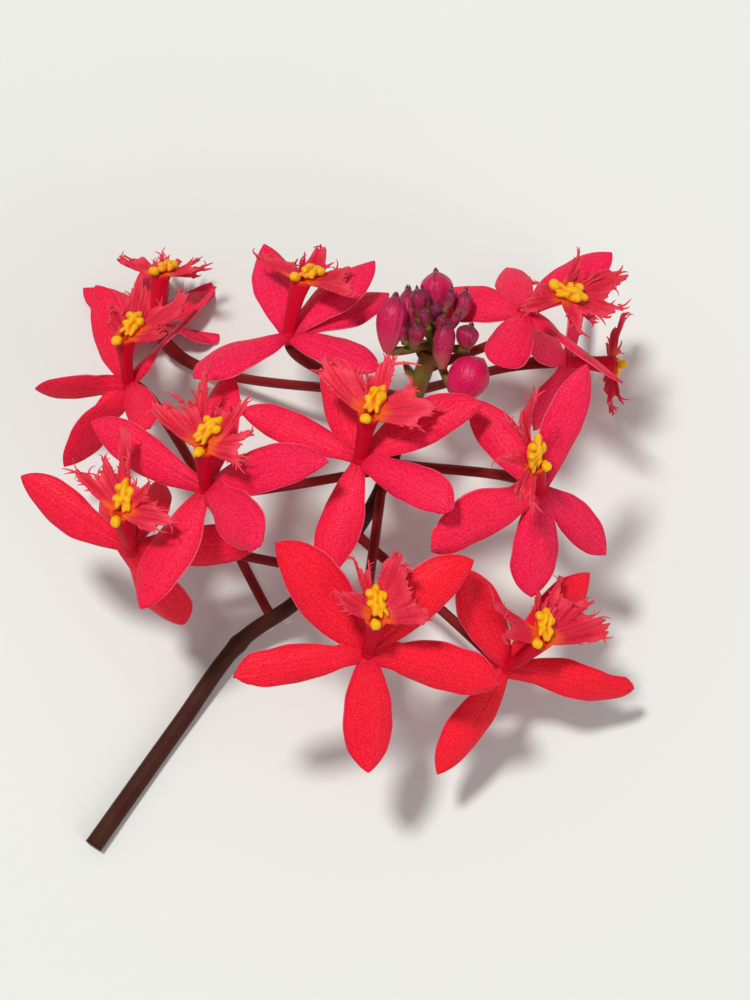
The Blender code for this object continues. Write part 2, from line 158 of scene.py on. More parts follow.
# Outlines that differ from the usual tepal.  For one side, then the other: half width in
# mm, place of the widest point, bluntness of the tip
SEPAL_FORM = (3.2, 0.55, 2.3, 3.2, 0.55, 2.3)
PETAL_FORM = (2.7, 0.60, 2.5, 2.7, 0.60, 2.5)
FORMS = {
    "front": {
        "lp": (2.2, 0.55, 2.4, 2.8, 0.64, 2.8), "rs": (4.4, 0.50, 3.2, 2.2, 0.50, 2.0),
        "ls": (2.9, 0.45, 2.5, 2.9, 0.50, 2.5), "rp": (3.6, 0.65, 3.4, 2.3, 0.50, 2.6),
        "ds": (3.2, 0.55, 2.4, 3.0, 0.57, 1.9)},
    "low_middle": {
        "ls": (3.5, 0.44, 1.8, 4.3, 0.55, 3.0), "rs": (4.5, 0.60, 2.9, 2.0, 0.50, 2.3),
        "lp": (2.4, 0.58, 2.6, 3.0, 0.65, 3.3), "rp": (4.0, 0.60, 3.0, 2.6, 0.60, 3.2),
        "ds": (3.5, 0.55, 2.4, 3.5, 0.55, 2.4)},
    "right": {
        "rs": (3.4, 0.53, 1.7, 2.4, 0.55, 2.8), "ls": (2.9, 0.62, 2.1, 3.0, 0.55, 2.3),
        "lp": (2.5, 0.60, 2.7, 4.6, 0.57, 2.3), "ds": (3.4, 0.58, 2.6, 3.5, 0.56, 2.9),
        "rp": (3.2, 0.45, 2.2, 2.1, 0.62, 3.2)},
    "low_right": {
        "rp": (2.6, 0.45, 1.4, 2.8, 0.65, 2.4), "ls": (3.4, 0.58, 2.4, 3.0, 0.55, 2.2),
        "ds": (2.9, 0.55, 2.4, 2.9, 0.55, 2.4)},
    "upper_left": {
        "lp": (3.0, 0.52, 2.4, 2.7, 0.66, 2.6), "rs": (4.0, 0.50, 2.4, 2.4, 0.42, 2.0),
        "rp": (4.0, 0.62, 3.0, 2.8, 0.55, 2.4), "ds": (3.3, 0.50, 2.6, 3.7, 0.57, 2.7)},
    "far_left": {
        "lp": (3.4, 0.50, 2.4, 2.4, 0.68, 2.5), "ds": (3.3, 0.65, 2.8, 3.3, 0.65, 2.6),
        "rp": (2.9, 0.60, 2.4, 2.9, 0.60, 2.4)},
    "top_left": {"ls": (3.3, 0.50, 2.2, 2.8, 0.65, 3.2), "rs": (2.8, 0.55, 2.0, 2.8, 0.55, 2.0)},
    "top_middle": {"lp": (3.0, 0.55, 2.4, 3.3, 0.60, 2.8), "rp": (3.4, 0.60, 3.0, 2.6, 0.55, 2.4)},
    "top_right": {"rp": (3.4, 0.62, 3.6, 3.2, 0.58, 3.0)},
}

# Lobes of each lip: way from the lip's middle line in degrees, reach, half width at the
# end, curl toward the viewer in degrees, length of the fringe threads, how slowly it widens,
# and for some a twist in degrees
USUAL_LOBES = (
    (-72, 8.6, 2.4, 25, 1.5, 0.8), (-18, 8.2, 1.5, 40, 1.3, 0.9), (20, 7.8, 1.5, 20, 1.3, 0.9),
    (72, 8.4, 2.4, 12, 1.5, 0.8))
LOBES = {
    "front": (
        (-72, 9.8, 2.4, 40, 1.6, 0.8), (-18, 9.4, 1.4, 45, 1.1, 0.7), (53, 8.7, 3.1, 8, 1.5, 0.7)),
    "low_middle": (
        (-63, 6.3, 1.3, 20, 1.2, 0.9), (-18, 9.8, 0.9, 50, 1.2, 1.6), (34, 8.8, 2.5, 50, 1.1, 0.8),
        (76, 6.8, 2.1, 15, 1.1, 0.8)),
    "right": (
        (-39, 11.6, 1.6, 10, 2.4, 2.4, 55), (-83, 6.1, 0.6, -50, 1.6, 1.0),
        (-151, 7.8, 1.3, 10, 2.2, 0.6, -50)),
    "low_right": (
        (-92, 9.6, 1.9, 20, 1.6, 0.9), (-13, 7.2, 1.5, 35, 1.2, 0.9), (20, 10.6, 2.4, 45, 1.4, 0.9),
        (56, 10.4, 2.2, 20, 1.6, 0.9)),
    "upper_left": (
        (-88, 9.1, 2.5, 35, 1.2, 0.8), (-56, 11.0, 2.0, 50, 2.4, 1.6, 25),
        (-7, 8.9, 1.5, 40, 1.4, 0.9), (60, 7.0, 2.3, 0, 1.8, 0.8)),
    "far_left": (
        (-48, 9.6, 2.0, 40, 1.8, 0.8), (-6, 11.2, 1.1, 50, 1.6, 0.5, 60),
        (43, 6.7, 1.2, 60, 1.4, 1.0), (93, 6.8, 1.7, -5, 2.0, 0.9)),
    "top_left": (
        (-62, 5.5, 1.2, 70, 1.0, 0.9), (-14, 9.5, 1.6, 40, 1.3, 0.8), (36, 10.8, 2.2, 40, 1.4, 0.8),
        (74, 7.6, 1.8, 30, 1.2, 0.8)),
    "top_right": (
        (-63, 7.0, 1.7, 10, 1.6, 0.9), (-29, 10.6, 2.0, 10, 1.8, 0.9), (9, 9.2, 2.0, 10, 1.8, 0.9),
        (62, 7.2, 1.7, 15, 1.6, 0.9), (149, 9.2, 1.9, 10, 1.6, 0.9)),
}

# A few long threads on a lobe's end: which lobe, place across it from -1 to 1, the way it
# points as seen from the front (0 right, 90 up), length, and how far it curls
LONG_THREADS = {
    "front": (
        (1, 0.85, 12, 4.4, -0.5), (1, 0.8, 40, 1.8, 0.6), (0, 0.5, 95, 3.0, 1.6),
        (0, 0.3, 112, 2.6, 1.9), (2, -0.9, 38, 3.0, 2.4), (2, -0.7, 50, 2.6, 2.2),
        (2, 0.9, -62, 2.4, 0.6)),
    "low_right": (
        (0, 0.9, 98, 3.4, 0.4),),
    "upper_left": (
        (1, -0.6, 130, 2.4, 0.7), (1, 0.2, 95, 2.8, -0.8), (1, 0.8, 70, 2.2, 0.9),
        (3, 0.9, -75, 2.4, 0.6)),
    "far_left": (
        (0, -0.8, 178, 2.2, 0.3), (0, 0.1, 150, 2.4, 0.5), (3, 0.7, -48, 2.6, 0.8)),
    "right": (
        (0, -0.9, 128, 2.6, 0.7), (0, -0.3, 104, 2.8, -0.5), (0, 0.4, 82, 2.6, 0.6),
        (0, 0.9, 60, 2.4, -0.6), (2, -0.6, -95, 2.6, 0.5), (2, 0.5, -80, 2.4, -0.4)),
}

# How far the crest and the cap stand from their usual place, right and up as seen from the front
CREST_SHIFT = {
    "front": ((-0.4, 0.3), (0.3, 0.0)), "upper_left": ((-1.1, 0.7), (0.8, 0.0)),
    "low_right": ((-0.4, 0.2), (-0.9, 1.0)), "low_middle": ((0.0, 0.0), (-0.2, 0.6)),
    "right": ((-0.9, -0.5), (0.8, 1.2)), "top_right": ((-1.2, 0.4), (0.0, 0.0)),
}

# How deep the red of each lip is, from coral 0 to crimson 1
LIP_DEPTH = {"front": 0.0, "low_middle": 0.75, "low_right": 0.9, "right": 0.45, "upper_left": 0.45,
             "far_left": 0.35, "top_right": 0.7, "top_left": 0.75, "top_middle": 0.75}

# Where a lip faces another way than its tube: the way it faces
LIP_FACE = {"right": (0.78, -0.12, 0.62)}

# Where each flower's stalk leaves the stem, from 0 at the cut to 1 at the top
STALKS = {
    "front": 0.80, "low_middle": 0.70, "right": 0.74, "low_right": 0.62,
    "upper_left": 0.73, "far_left": 0.55, "top_left": 0.42, "top_middle": 0.84,
    "top_right": 0.93, "rear_right": 0.88, "rear_left": 0.86,
}

# Points of the stem; those without a depth lie on the floor
STEM_PATH = [
    (-41.5, -51.0), (-29.5, -34.0), (-20.5, -21.6, -26.0), (-10.5, -14.0, -23.0),
    (-0.5, -1.0, -20.0), (5.0, 13.0, -16.0), (8.0, 21.5, -12.5)]

# Buds: middle, way the tip points, length, thickness, ripeness (0 small and dark)
BUDS = [
    ((2.4, 25.2, -8.0), (0.15, 1.0, 0.1), 8.6, 4.3, 0.8),
    ((4.8, 26.8, -11.5), (0.0, 1.0, -0.1), 8.0, 3.2, 0.6),
    ((8.8, 30.0, -13.0), (0.0, 1.0, 0.0), 6.6, 4.8, 0.9),
    ((6.2, 28.3, -9.0), (-0.1, 1.0, 0.4), 4.6, 2.4, 0.3),
    ((8.8, 27.0, -8.2), (0.1, 0.8, 0.8), 3.4, 1.9, 0.0),
    ((12.4, 28.2, -12.0), (0.35, 1.0, 0.0), 4.8, 2.7, 0.4),
    ((5.6, 23.6, -6.5), (0.1, 0.9, 0.6), 3.8, 2.4, 0.3),
    ((10.1, 22.2, -8.0), (0.1, 1.0, 0.2), 7.2, 3.1, 0.5),
    ((13.6, 23.4, -9.0), (0.1, 0.9, 0.4), 3.8, 3.3, 0.5),
    ((13.7, 17.3, -9.0), (0.55, 0.84, 0.1), 7.2, 5.9, 1.1),
]

# Six very small buds that the solids leave out
SMALL_BUDS = [
    ((7.2, 28.9, -9.4), (-0.2, 1.0, 0.2), 3.4, 1.7, 0.0),
    ((10.6, 29.0, -9.8), (0.3, 1.0, 0.1), 3.2, 1.6, 0.1),
    ((9.6, 25.4, -7.0), (0.2, 0.9, 0.5), 2.6, 1.5, 0.1),
    ((7.3, 26.0, -6.6), (-0.2, 0.9, 0.5), 2.8, 1.6, 0.0),
    ((4.0, 24.0, -7.6), (-0.1, 1.0, 0.3), 3.0, 1.7, 0.2),
    ((11.6, 25.6, -9.5), (0.5, 0.9, 0.2), 2.8, 1.5, 0.2),
]

# Scale leaves at the growing tip: place along the stem, way they point, length
SCALE_LEAVES = (
    (0.90, (-1.0, 0.9, 0.5), 3.0), (0.93, (1.0, 0.8, 0.6), 2.8),
    (0.96, (-0.6, 1.0, 0.8), 2.6), (0.99, (0.7, 1.0, 0.7), 2.6),
)


# Directions and places

def unit(v):
    """Vectors divided by their lengths."""
    v = np.asarray(v, float)
    return v / np.maximum(np.linalg.norm(v, axis=-1, keepdims=True), 1e-12)


def to_world(p):
    """Turn about x by the look-down angle, lift by the middle height, and scale to metres."""
    p = np.asarray(p, float)
    s = math.sin(LOOK_DOWN)
    c = math.cos(LOOK_DOWN)
    x = p[..., 0] + SHIFT_X
    y = p[..., 1] * s - p[..., 2] * c + SHIFT_Y
    z = p[..., 1] * c + p[..., 2] * s + MIDDLE_HEIGHT
    return np.stack([x, y, z], -1) * MM


def rest_on_floor(p, clearance):
    """Add along the upward direction whatever a point lacks of its clearance."""
    short = np.maximum(clearance - to_world(p)[..., 2] / MM, 0.0)
    return p + short[..., None] * np.array([0.0, math.cos(LOOK_DOWN), math.sin(LOOK_DOWN)])


def flower_axes(f):
    """Side, lip-ward, outward, tube and lip-blade directions from facing and roll."""
    a, e = np.radians(f["face"])
    r = math.radians(f["roll"])
    out = np.array([math.sin(a) * math.cos(e), math.sin(e), math.cos(a) * math.cos(e)])
    x = unit(np.cross((0.0, 1.0, 0.0), out))
    y = np.cross(out, x)
    side = math.cos(r) * x - math.sin(r) * y
    lip = math.sin(r) * x + math.cos(r) * y
    tube = math.cos(TUBE_TILT) * out + math.sin(TUBE_TILT) * lip
    up = math.cos(TUBE_TILT) * lip - math.sin(TUBE_TILT) * out
    return side, lip, out, tube, up


def tip_vector(tip, out, reach):
    """Tip offset; without a stated depth it lies in the flower's plane at about its reach."""
    if len(tip) > 2:
        return np.array(tip[:3], float)
    flat = tip[0] ** 2 + tip[1] ** 2
    plane = -(out[0] * tip[0] + out[1] * tip[1]) / max(out[2], 0.2)
    least, most = (math.sqrt(max((share * reach) ** 2 - flat, 0.0)) for share in (0.9, 1.06))
    depth = min(max(abs(plane), least), most)
    return np.array([tip[0], tip[1], math.copysign(depth, plane or -1.0)])


def lip_base(f):
    """Where the lip starts: at the end of the tube, a little above its middle."""
    tube, up = flower_axes(f)[3:]
    return np.array(f["at"]) + f["size"] * (TUBE_LENGTH * tube + 1.1 * up)


def stem_point(t):
    """Catmull-Rom curve through the stem's path, t from 0 at the cut to 1 at the top."""
    pts = []
    for p in STEM_PATH:
        low = (STEM_RADIUS - 0.12 - MIDDLE_HEIGHT - p[1] * math.cos(LOOK_DOWN)) / math.sin(LOOK_DOWN)
        pts.append((p[0], p[1], p[2] if len(p) > 2 else low))
    pts = np.array(pts)
    n = len(pts) - 1
    x = np.clip(np.asarray(t, float), 0.0, 1.0) * n
    k = np.minimum(x.astype(int), n - 1)
    q = (x - k)[..., None]
    a, b, c, d = (pts[np.clip(k + o, 0, n)] for o in (-1, 0, 1, 2))
    return 0.5 * (2 * b + (c - a) * q + (2 * a - 5 * b + 4 * c - d) * q ** 2
                  + (3 * b - a - 3 * c + d) * q ** 3)


def stalk_path(name, count):
    """Hermite curve from the stem to behind a flower, arriving along the flower's axis."""
    f = FLOWERS[name]
    out = flower_axes(f)[2]
    start = stem_point(np.array(STALKS[name]))
    end = np.array(f["at"]) - out * (1.1 * HUB + 0.3)
    reach = np.linalg.norm(end - start)
    m0 = (end - start) * 0.9 + np.array([0.0, 0.0, -0.25 * reach])
    m1 = out * reach * 0.9
    t = np.linspace(0, 1, count)[:, None]
    return ((2 * t ** 3 - 3 * t ** 2 + 1) * start + (t ** 3 - 2 * t ** 2 + t) * m0
            + (3 * t ** 2 - 2 * t ** 3) * end + (t ** 3 - t ** 2) * m1)


# Shells: points, quads with their UVs, triangles with their UVs, and a tint per point

def grid_quads(rows, cols, closed):
    """Quads of a grid and their UVs, u across the columns and v along the rows."""
    n = cols if closed else cols - 1
    i, j = np.meshgrid(np.arange(rows - 1), np.arange(n), indexing="ij")
    k = (j + 1) % cols
    q = np.stack([i * cols + j, i * cols + k, (i + 1) * cols + k, (i + 1) * cols + j], -1)
    u0 = j / n
    v0 = i / (rows - 1)
    u1 = (j + 1) / n
    v1 = (i + 1) / (rows - 1)
    uv = np.stack([np.stack([u0, v0], -1), np.stack([u1, v0], -1),
                   np.stack([u1, v1], -1), np.stack([u0, v1], -1)], -2)
    return q.reshape(-1, 4), uv.reshape(-1, 4, 2)


def surface_normals(p):
    """Normals of a grid of points: the cross product of its two slopes."""
    return unit(np.cross(np.gradient(p, axis=1), np.gradient(p, axis=0)))


def sheet(p, thick, tint):
    """A closed sheet: the surface moved half its thickness to each side, with a rim."""
    n = surface_normals(p)
    rows, cols = p.shape[:2]
    half = (np.broadcast_to(thick, p.shape[:2]) / 2)[..., None]
    top = (p + n * half).reshape(-1, 3)
    under = (p - n * half).reshape(-1, 3)
    q, uv = grid_quads(rows, cols, False)
    low = rows * cols
    flip = (q + low)[:, [0, 3, 2, 1]]
    rim = np.concatenate([
        np.arange(cols), np.arange(1, rows) * cols + cols - 1,
        (rows - 1) * cols + np.arange(cols - 2, -1, -1), np.arange(rows - 2, 0, -1) * cols])
    nxt = np.roll(rim, -1)
    edge = np.stack([rim, rim + low, nxt + low, nxt], -1)
    u = np.tile(np.linspace(0, 1, cols), rows)
    v = np.repeat(np.linspace(0, 1, rows), cols)
    flat = np.stack([u, v], -1)
    flat = np.concatenate([flat, flat])
    quads = np.concatenate([q, flip, edge])
    uvs = np.concatenate([uv, uv[:, [0, 3, 2, 1]], flat[edge]])
    tints = np.tile(np.broadcast_to(tint, p.shape[:2]).ravel(), 2)
    return np.concatenate([top, under]), quads, uvs, np.zeros((0, 3), int), np.zeros((0, 3, 2)), tints


def round_shell(p, first, last, tint):
    """A closed shell: rings of points, round in their second index, ended by two poles."""
    rows, cols = p.shape[:2]
    q, uv = grid_quads(rows, cols, True)
    j = np.arange(cols)
    k = (j + 1) % cols
    a = rows * cols
    end = (rows - 1) * cols
    tris = np.concatenate([np.stack([j * 0 + a, k, j], -1),
                           np.stack([j * 0 + a + 1, end + j, end + k], -1)])
    left, mid, right = (np.stack([(j + part) / cols, 0.0 * j], -1) for part in (0, 0.5, 1))
    low = np.stack([mid, right, left], -2)
    high = np.stack([mid, left, right], -2) + (0.0, 1.0)
    points = np.concatenate([p.reshape(-1, 3), [first], [last]])
    tints = np.append(np.broadcast_to(tint, p.shape[:2]), [np.mean(tint)] * 2)
    return points, q, uv, tris, np.concatenate([low, high]), tints


def tube(path, radii, sides, tint=0.0, flutes=0.0, flute_count=6, flat=1.0, hint=HINT):
    """A round tube: a turned, slightly fluted circle carried along a path."""
    path = np.asarray(path, float)
    tangent = unit(np.gradient(path, axis=0))
    a = np.zeros_like(path)
    last = np.asarray(hint, float)
    for k in range(len(path)):
        last = unit(last - np.dot(last, tangent[k]) * tangent[k])
        a[k] = last
    b = np.cross(tangent, a)
    t = np.linspace(0, 2 * math.pi, sides, endpoint=False)[None, :, None]
    r = np.asarray(radii, float)[:, None, None] * (1 + flutes * np.cos(flute_count * t))
    p = path[:, None] + r * (np.cos(t) * a[:, None] + flat * np.sin(t) * b[:, None])
    return round_shell(p, path[0], path[-1], tint)


def build_piece(name, shells, material, nodes):
    """Join shells into one object at the origin, with UVs and a tint, and tell the frame."""
    first = np.cumsum([0] + [len(shell[0]) for shell in shells[:-1]])
    points = to_world(np.concatenate([shell[0] for shell in shells]))
    points[:, 2] = np.maximum(points[:, 2], 0.0)
    quads, tris = (np.concatenate([shell[part] + k for shell, k in zip(shells, first)])
                   for part in (1, 3))
    uvs = np.concatenate([shell[part].reshape(-1, 2) for part in (2, 4) for shell in shells])
    loops = np.concatenate([quads.ravel(), tris.ravel()])
    starts = np.concatenate([np.arange(len(quads)) * 4, len(quads) * 4 + np.arange(len(tris)) * 3])
    mesh = bpy.data.meshes.new(name)
    mesh.vertices.add(len(points))
    mesh.vertices.foreach_set("co", points.ravel())
    mesh.loops.add(len(loops))
    mesh.loops.foreach_set("vertex_index", loops)
    mesh.polygons.add(len(starts))
    mesh.polygons.foreach_set("loop_start", starts)
    mesh.update(calc_edges=True)
    layer = mesh.uv_layers.new(name="UVMap")
    layer.data.foreach_set("uv", uvs.ravel())
    tint = mesh.attributes.new("tint", "FLOAT", "POINT")
    tint.data.foreach_set("value", np.concatenate([shell[5] for shell in shells]))
    mesh.polygons.foreach_set("use_smooth", np.ones(len(starts), bool))
    mesh.materials.append(material)
    mesh.validate()
    obj = bpy.data.objects.new(name, mesh)
    bpy.context.scene.collection.objects.link(obj)
    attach(obj, "root")
    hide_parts(*nodes)
    return obj


# Flower parts

def half_width(u, width, widest, blunt):
    """Half width of one side: rises as 1-(1-u/widest)^1.8, falls as (1-t^blunt)^0.8 to the tip.

    A narrow foot adds its share of (1-u)^7.
    """
    rise = 1 - (1 - np.clip(u / widest, 0, 1)) ** 1.8
    fall = (1 - np.clip((u - widest) / (1 - widest), 0, 1) ** blunt) ** 0.8
    return width * np.where(u < widest, rise, fall) + BASE_HALF_WIDTH * 0.8 * (1 - u) ** 7


def tepal(f, name, key, rng, thick):
    """Blade from centre to tip: arched, cupped, with a soft midrib and a waving margin.

    across = half width * v; off the plane = cup v^2 + arch 4u(1-u) + waves |v|^2.5, and a
    narrow bell for the midrib.  A ragged tip is cut back by three sines of v.
    """
    reach = SIZES[key]
    form = FORMS.get(name, {}).get(key, PETAL_FORM if key in ("lp", "rp") else SEPAL_FORM)
    out = flower_axes(f)[2]
    tip = tip_vector(f[key], out, reach * f["size"])
    turn = math.radians(f[key][3]) if len(f[key]) > 3 else 0.0
    along = unit(tip)
    face = unit(out - np.dot(out, along) * along)
    side = np.cross(along, face)
    rows, cols = ((72, 31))
    s = np.linspace(0, 1, rows)[:, None]
    u = 1 - (1 - s) ** 1.25
    v = np.sin(np.linspace(-1, 1, cols) * math.pi / 2)[None, :]
    ph = [rng.uniform(0, 6.28) for _ in range(8)]
    right = v > 0
    size = f["size"]
    w = np.where(right, half_width(u, form[3] * size, form[4], form[5]),
                 half_width(u, form[0] * size, form[1], form[2]))
    ripple = (0.025 * np.sin(9 * u + np.where(right, ph[0], ph[1]))
              + 0.012 * np.sin(27 * u + np.where(right, ph[2], ph[3])))
    length = np.linalg.norm(tip)
    nip = 0.0
    ragged = key in f.get("blunt", ())
    if ragged:
        ripple = ripple + 0.05 * np.sin(17 * u + np.where(right, ph[4], ph[5])) * u ** 3
        cut = (0.42 * np.sin(6 * v + ph[2]) + 0.26 * np.sin(15 * v + ph[3])
               + 0.14 * np.sin(31 * v + ph[4]))
        w = np.maximum(w, RAGGED_WIDTH * np.where(right, form[3], form[0]) * size
                       * np.clip((1 - u) / 0.09, 0, 1) ** 0.55)
        nip = (cut - 0.5) * np.clip((u - 0.8) / 0.2, 0, 1) ** 2 * (1 - 0.7 * v ** 2)
    w = np.maximum(w * (1 + ripple), 0.05)
    curl = 0.55 if ragged else 0.30
    wave = curl * np.abs(v) ** 2.5 * np.sin(np.pi * u) * np.where(
        right, np.sin(10 * u + ph[4]), np.sin(8.5 * u + ph[5]))
    rib = -MIDRIB * np.exp(-(v / 0.10) ** 2) * (1 - 0.7 * u)
    lift = -CUP * w * v ** 2 + ARCH * length * 4 * u * (1 - u) + wave + rib
    lift = lift + rng.uniform(-0.5, 0.7) * np.clip((u - 0.8) / 0.2, 0, 1) ** 2
    angle = turn * np.clip(u * 3.0, 0, 1) + math.radians(rng.uniform(-7, 7)) * u
    across = w * v
    p = (np.array(f["at"]) + (u * length + nip)[..., None] * along
         + (across * np.cos(angle))[..., None] * side
         + (across * np.sin(angle) + lift)[..., None] * face)
    p = rest_on_floor(p, FLOOR_GAP)
    t = thick * (1 - 0.55 * v ** 4) * (1 - 0.35 * u)
    return sheet(p, t, f["warm"] + rng.uniform(-0.15, 0.15))


def saw(x):
    """A triangle wave from 0 to 1, with a period of a full turn."""
    return np.abs(((x / (2 * math.pi)) % 1.0) - 0.5) * 2


def finger(root, way, toward, length, width, curl, tint, rings=8):
    """A fringe thread: a tapering flat tube on a circular arc that curls toward a direction."""
    toward = unit(toward - np.dot(toward, way) * way)
    k = math.copysign(max(abs(curl), 0.05), curl)
    t = np.linspace(0, 1, rings)[:, None]
    path = root + length / k * (np.sin(k * t) * way + (1 - np.cos(k * t)) * toward)
    radii = width / 2 * (1 - 0.7 * t[:, 0] ** 1.5)
    p, q, uv, tr, tu, tints = tube(path, radii, 5, tint=tint, flat=0.6, hint=np.cross(way, toward))
    uv = np.stack([uv[..., 0], 0.86 + 0.14 * uv[..., 1]], -1)
    tu = np.stack([tu[..., 0], 0.86 + 0.14 * tu[..., 1]], -1)
    return p, q, uv, tr, tu, tints


def lip_frame(name, f):
    """Side, up and facing directions of a lip, which may face another way than its tube."""
    side, _, _, way, up = flower_axes(f)
    if name in LIP_FACE:
        way = unit(LIP_FACE[name])
        up = unit(up - np.dot(up, way) * way)
        side = np.cross(up, way)
    return side, up, way


def lobe_shells(base, axes, size, spec, depth, rng, thick, extras):
    """One lobe: a broad fan whose half width grows as a power of s, rolled along an arc.

    Its end is cut by shallow triangle waves and two bell-shaped slits, its ruffles grow
    as s^1.3, a twist grows as s, and threads stand in three clusters along the end.
    """
    side, up, way = axes
    angle, reach, half, curl, fringe, slow = spec[:6]
    twist = math.radians(spec[6] if len(spec) > 6 else 0.0)
    reach = reach * size * LOBE_REACH
    half = half * size * LOBE_SPREAD
    neck = 0.9 / max(slow, 0.9)
    a = math.radians(angle)
    along = math.sin(a) * side + math.cos(a) * up
    cross = math.cos(a) * side - math.sin(a) * up
    rows, cols = ((26, 73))
    v = np.linspace(-1, 1, cols)[None, :]
    s = np.linspace(0, 1, rows)[:, None]
    ph = [rng.uniform(0, 6.28) for _ in range(9)]
    places = (rng.uniform(-0.7, -0.15), rng.uniform(0.1, 0.65))
    slits = sum(np.exp(-((v - place) / 0.07) ** 2) for place in places)
    teeth = (0.07 * saw(13 * v + ph[0]) * (1 + 0.6 * np.sin(3.1 * v + ph[1]))
             + 0.035 * saw(31 * v + ph[2]))
    end = reach * (1 - 0.13 * v ** 2 - teeth - 0.13 * slits)
    r = 0.5 + (end - 0.5) * s
    torn = 0.10 * s * saw(17 * s + np.where(v > 0, ph[3], ph[4])) * np.abs(v) ** 4
    h = (neck + (half - neck) * s ** slow) * (1 - torn)
    k = math.radians(curl + rng.uniform(-8, 8)) / reach
    k = k if abs(k) > 1e-4 else 1e-4
    turn = k * r * (1 + 0.25 * np.sin(2.2 * v + ph[5]))
    x = np.sin(turn) / k
    z = (1 - np.cos(turn)) / k
    ruffle = (0.55 * np.sin(3.4 * v + ph[6]) + 0.34 * np.sin(7.6 * v + ph[7] + 1.5 * s)
              + 0.13 * np.sin(17 * v + ph[8]))
    ruffle = ruffle * s ** 1.3 * (0.50 + 0.16 * half) + 0.35 * np.abs(v) * s
    over = twist * s
    p = (base + x[..., None] * along
         + (h * v * np.cos(over) - ruffle * np.sin(over))[..., None] * cross
         + (z + h * v * np.sin(over))[..., None] * way
         + (ruffle * np.cos(turn) * np.cos(over))[..., None] * way
         - (ruffle * np.sin(turn))[..., None] * along)
    shells = [sheet(p, thick * (1 - 0.55 * s), depth)]
    normals = surface_normals(p)
    ways = unit(p[-1] - p[-4])
    count = max(4, int(half * (3.4)))
    middles = (rng.uniform(-0.95, -0.7), rng.uniform(-0.2, 0.2), rng.uniform(0.65, 0.95))
    for i in range(count):
        spot = min(max(middles[i % 3] + rng.gauss(0.0, 0.13), -0.99), 0.99)
        c = min(max(int(round((spot + 1) / 2 * (cols - 1))), 1), cols - 2)
        n = normals[-2, c]
        way_out = unit(ways[c] + (0.45 * spot + rng.uniform(-0.3, 0.3)) * cross
                       + rng.uniform(-0.25, 0.45) * n)
        long = fringe * rng.uniform(0.5, 1.15)
        toward = rng.uniform(-1, 1) * cross + rng.uniform(-0.4, 1.0) * n
        shells.append(finger(p[-1, c] - ways[c] * 0.5, way_out, toward, long + 0.45,
                             rng.uniform(0.34, 0.54), rng.uniform(0.3, 2.4), depth))
    for _, place, point, length, bend in extras:
        c = int(round((place + 1) / 2 * (cols - 1)))
        b = math.radians(point)
        heading = unit(np.array([math.cos(b), math.sin(b), 0.15]))
        toward = np.array([-math.sin(b), math.cos(b), 0.2]) * math.copysign(1.0, bend)
        shells.append(finger(p[-2, c] - heading * 0.3, heading, toward, length, 0.35 + 0.11 * length,
                             abs(bend), depth, 14))
    for edge in (0, cols - 1):
        for i in range(3):
            row = int(round((0.5 + 0.45 * (i + rng.uniform(0.1, 0.9)) / 3) * (rows - 1)))
            n = normals[row, edge]
            sign = -1.0 if edge == 0 else 1.0
            way_out = unit(sign * cross + rng.uniform(0.5, 1.2) * along + rng.uniform(-0.3, 0.4) * n)
            shells.append(finger(p[row, edge] - way_out * 0.25, way_out, n,
                                 fringe * rng.uniform(0.2, 0.5) + 0.25, rng.uniform(0.28, 0.42),
                                 rng.uniform(-1.0, 1.4), depth))
    return shells


def lip_shells(name, f, rng, thick):
    """All lobes of one lip round the tube's mouth, and its few long threads."""
    axes = lip_frame(name, f)
    base = lip_base(f)
    shells = []
    for i, spec in enumerate(LOBES.get(name, USUAL_LOBES)):
        extras = [thread for thread in LONG_THREADS.get(name, ()) if thread[0] == i]
        depth = LIP_DEPTH.get(name, 0.5) + rng.uniform(-0.15, 0.15)
        shells += lobe_shells(base, axes, f["size"], spec, depth, rng, thick, extras)
    return shells


def throat_tube(f):
    """The tube from the flower's centre to the lip, with a sunken mouth.

    It is bowed up as t^3, and its radius widens as 0.86 + 0.42 t + 0.42 t^4.
    """
    side, _, _, way, up = flower_axes(f)
    size = f["size"]
    centre = np.array(f["at"])
    t = np.concatenate([np.linspace(0, 1, 24), [1.0, 0.985, 0.95, 0.93]])[:, None]
    ring = np.concatenate([np.linspace(0, 1, 24), [1.0, 1.0, 1.0, 1.0]])[:, None]
    mouth = size * TUBE_LENGTH + 0.15
    path = centre + way * t * mouth + up * size * ring ** 3
    radii = 0.86 + 0.42 * ring[:, 0] + 0.42 * ring[:, 0] ** 4
    radii[24:] = (1.55, 1.2, 0.8, 0.4)
    a = np.linspace(0, 2 * math.pi, 32, endpoint=False)[None, :, None]
    r = radii[:, None, None] * (1 + 0.035 * np.cos(5 * a))
    p = path[:, None] + r * (np.cos(a) * side + 0.92 * np.sin(a) * up)
    return round_shell(p, path[0], path[-1], f["warm"])


def hub_shell(f):
    """The small knot where the tepals meet: an egg along the flower's axis."""
    out = flower_axes(f)[2]
    centre = np.array(f["at"])
    h = np.linspace(-1, 1, 14)[1:-1]
    path = centre + out * (h * 1.35 - 0.35)[:, None]
    p, q, uv, tr, tu, tints = tube(path, 1.25 * np.sqrt(1 - h ** 2), 18, tint=f["warm"], flutes=0.06,
                                   flute_count=5)
    return p, q, uv * (1.0, 0.5), tr, tu * (1.0, 0.5), tints


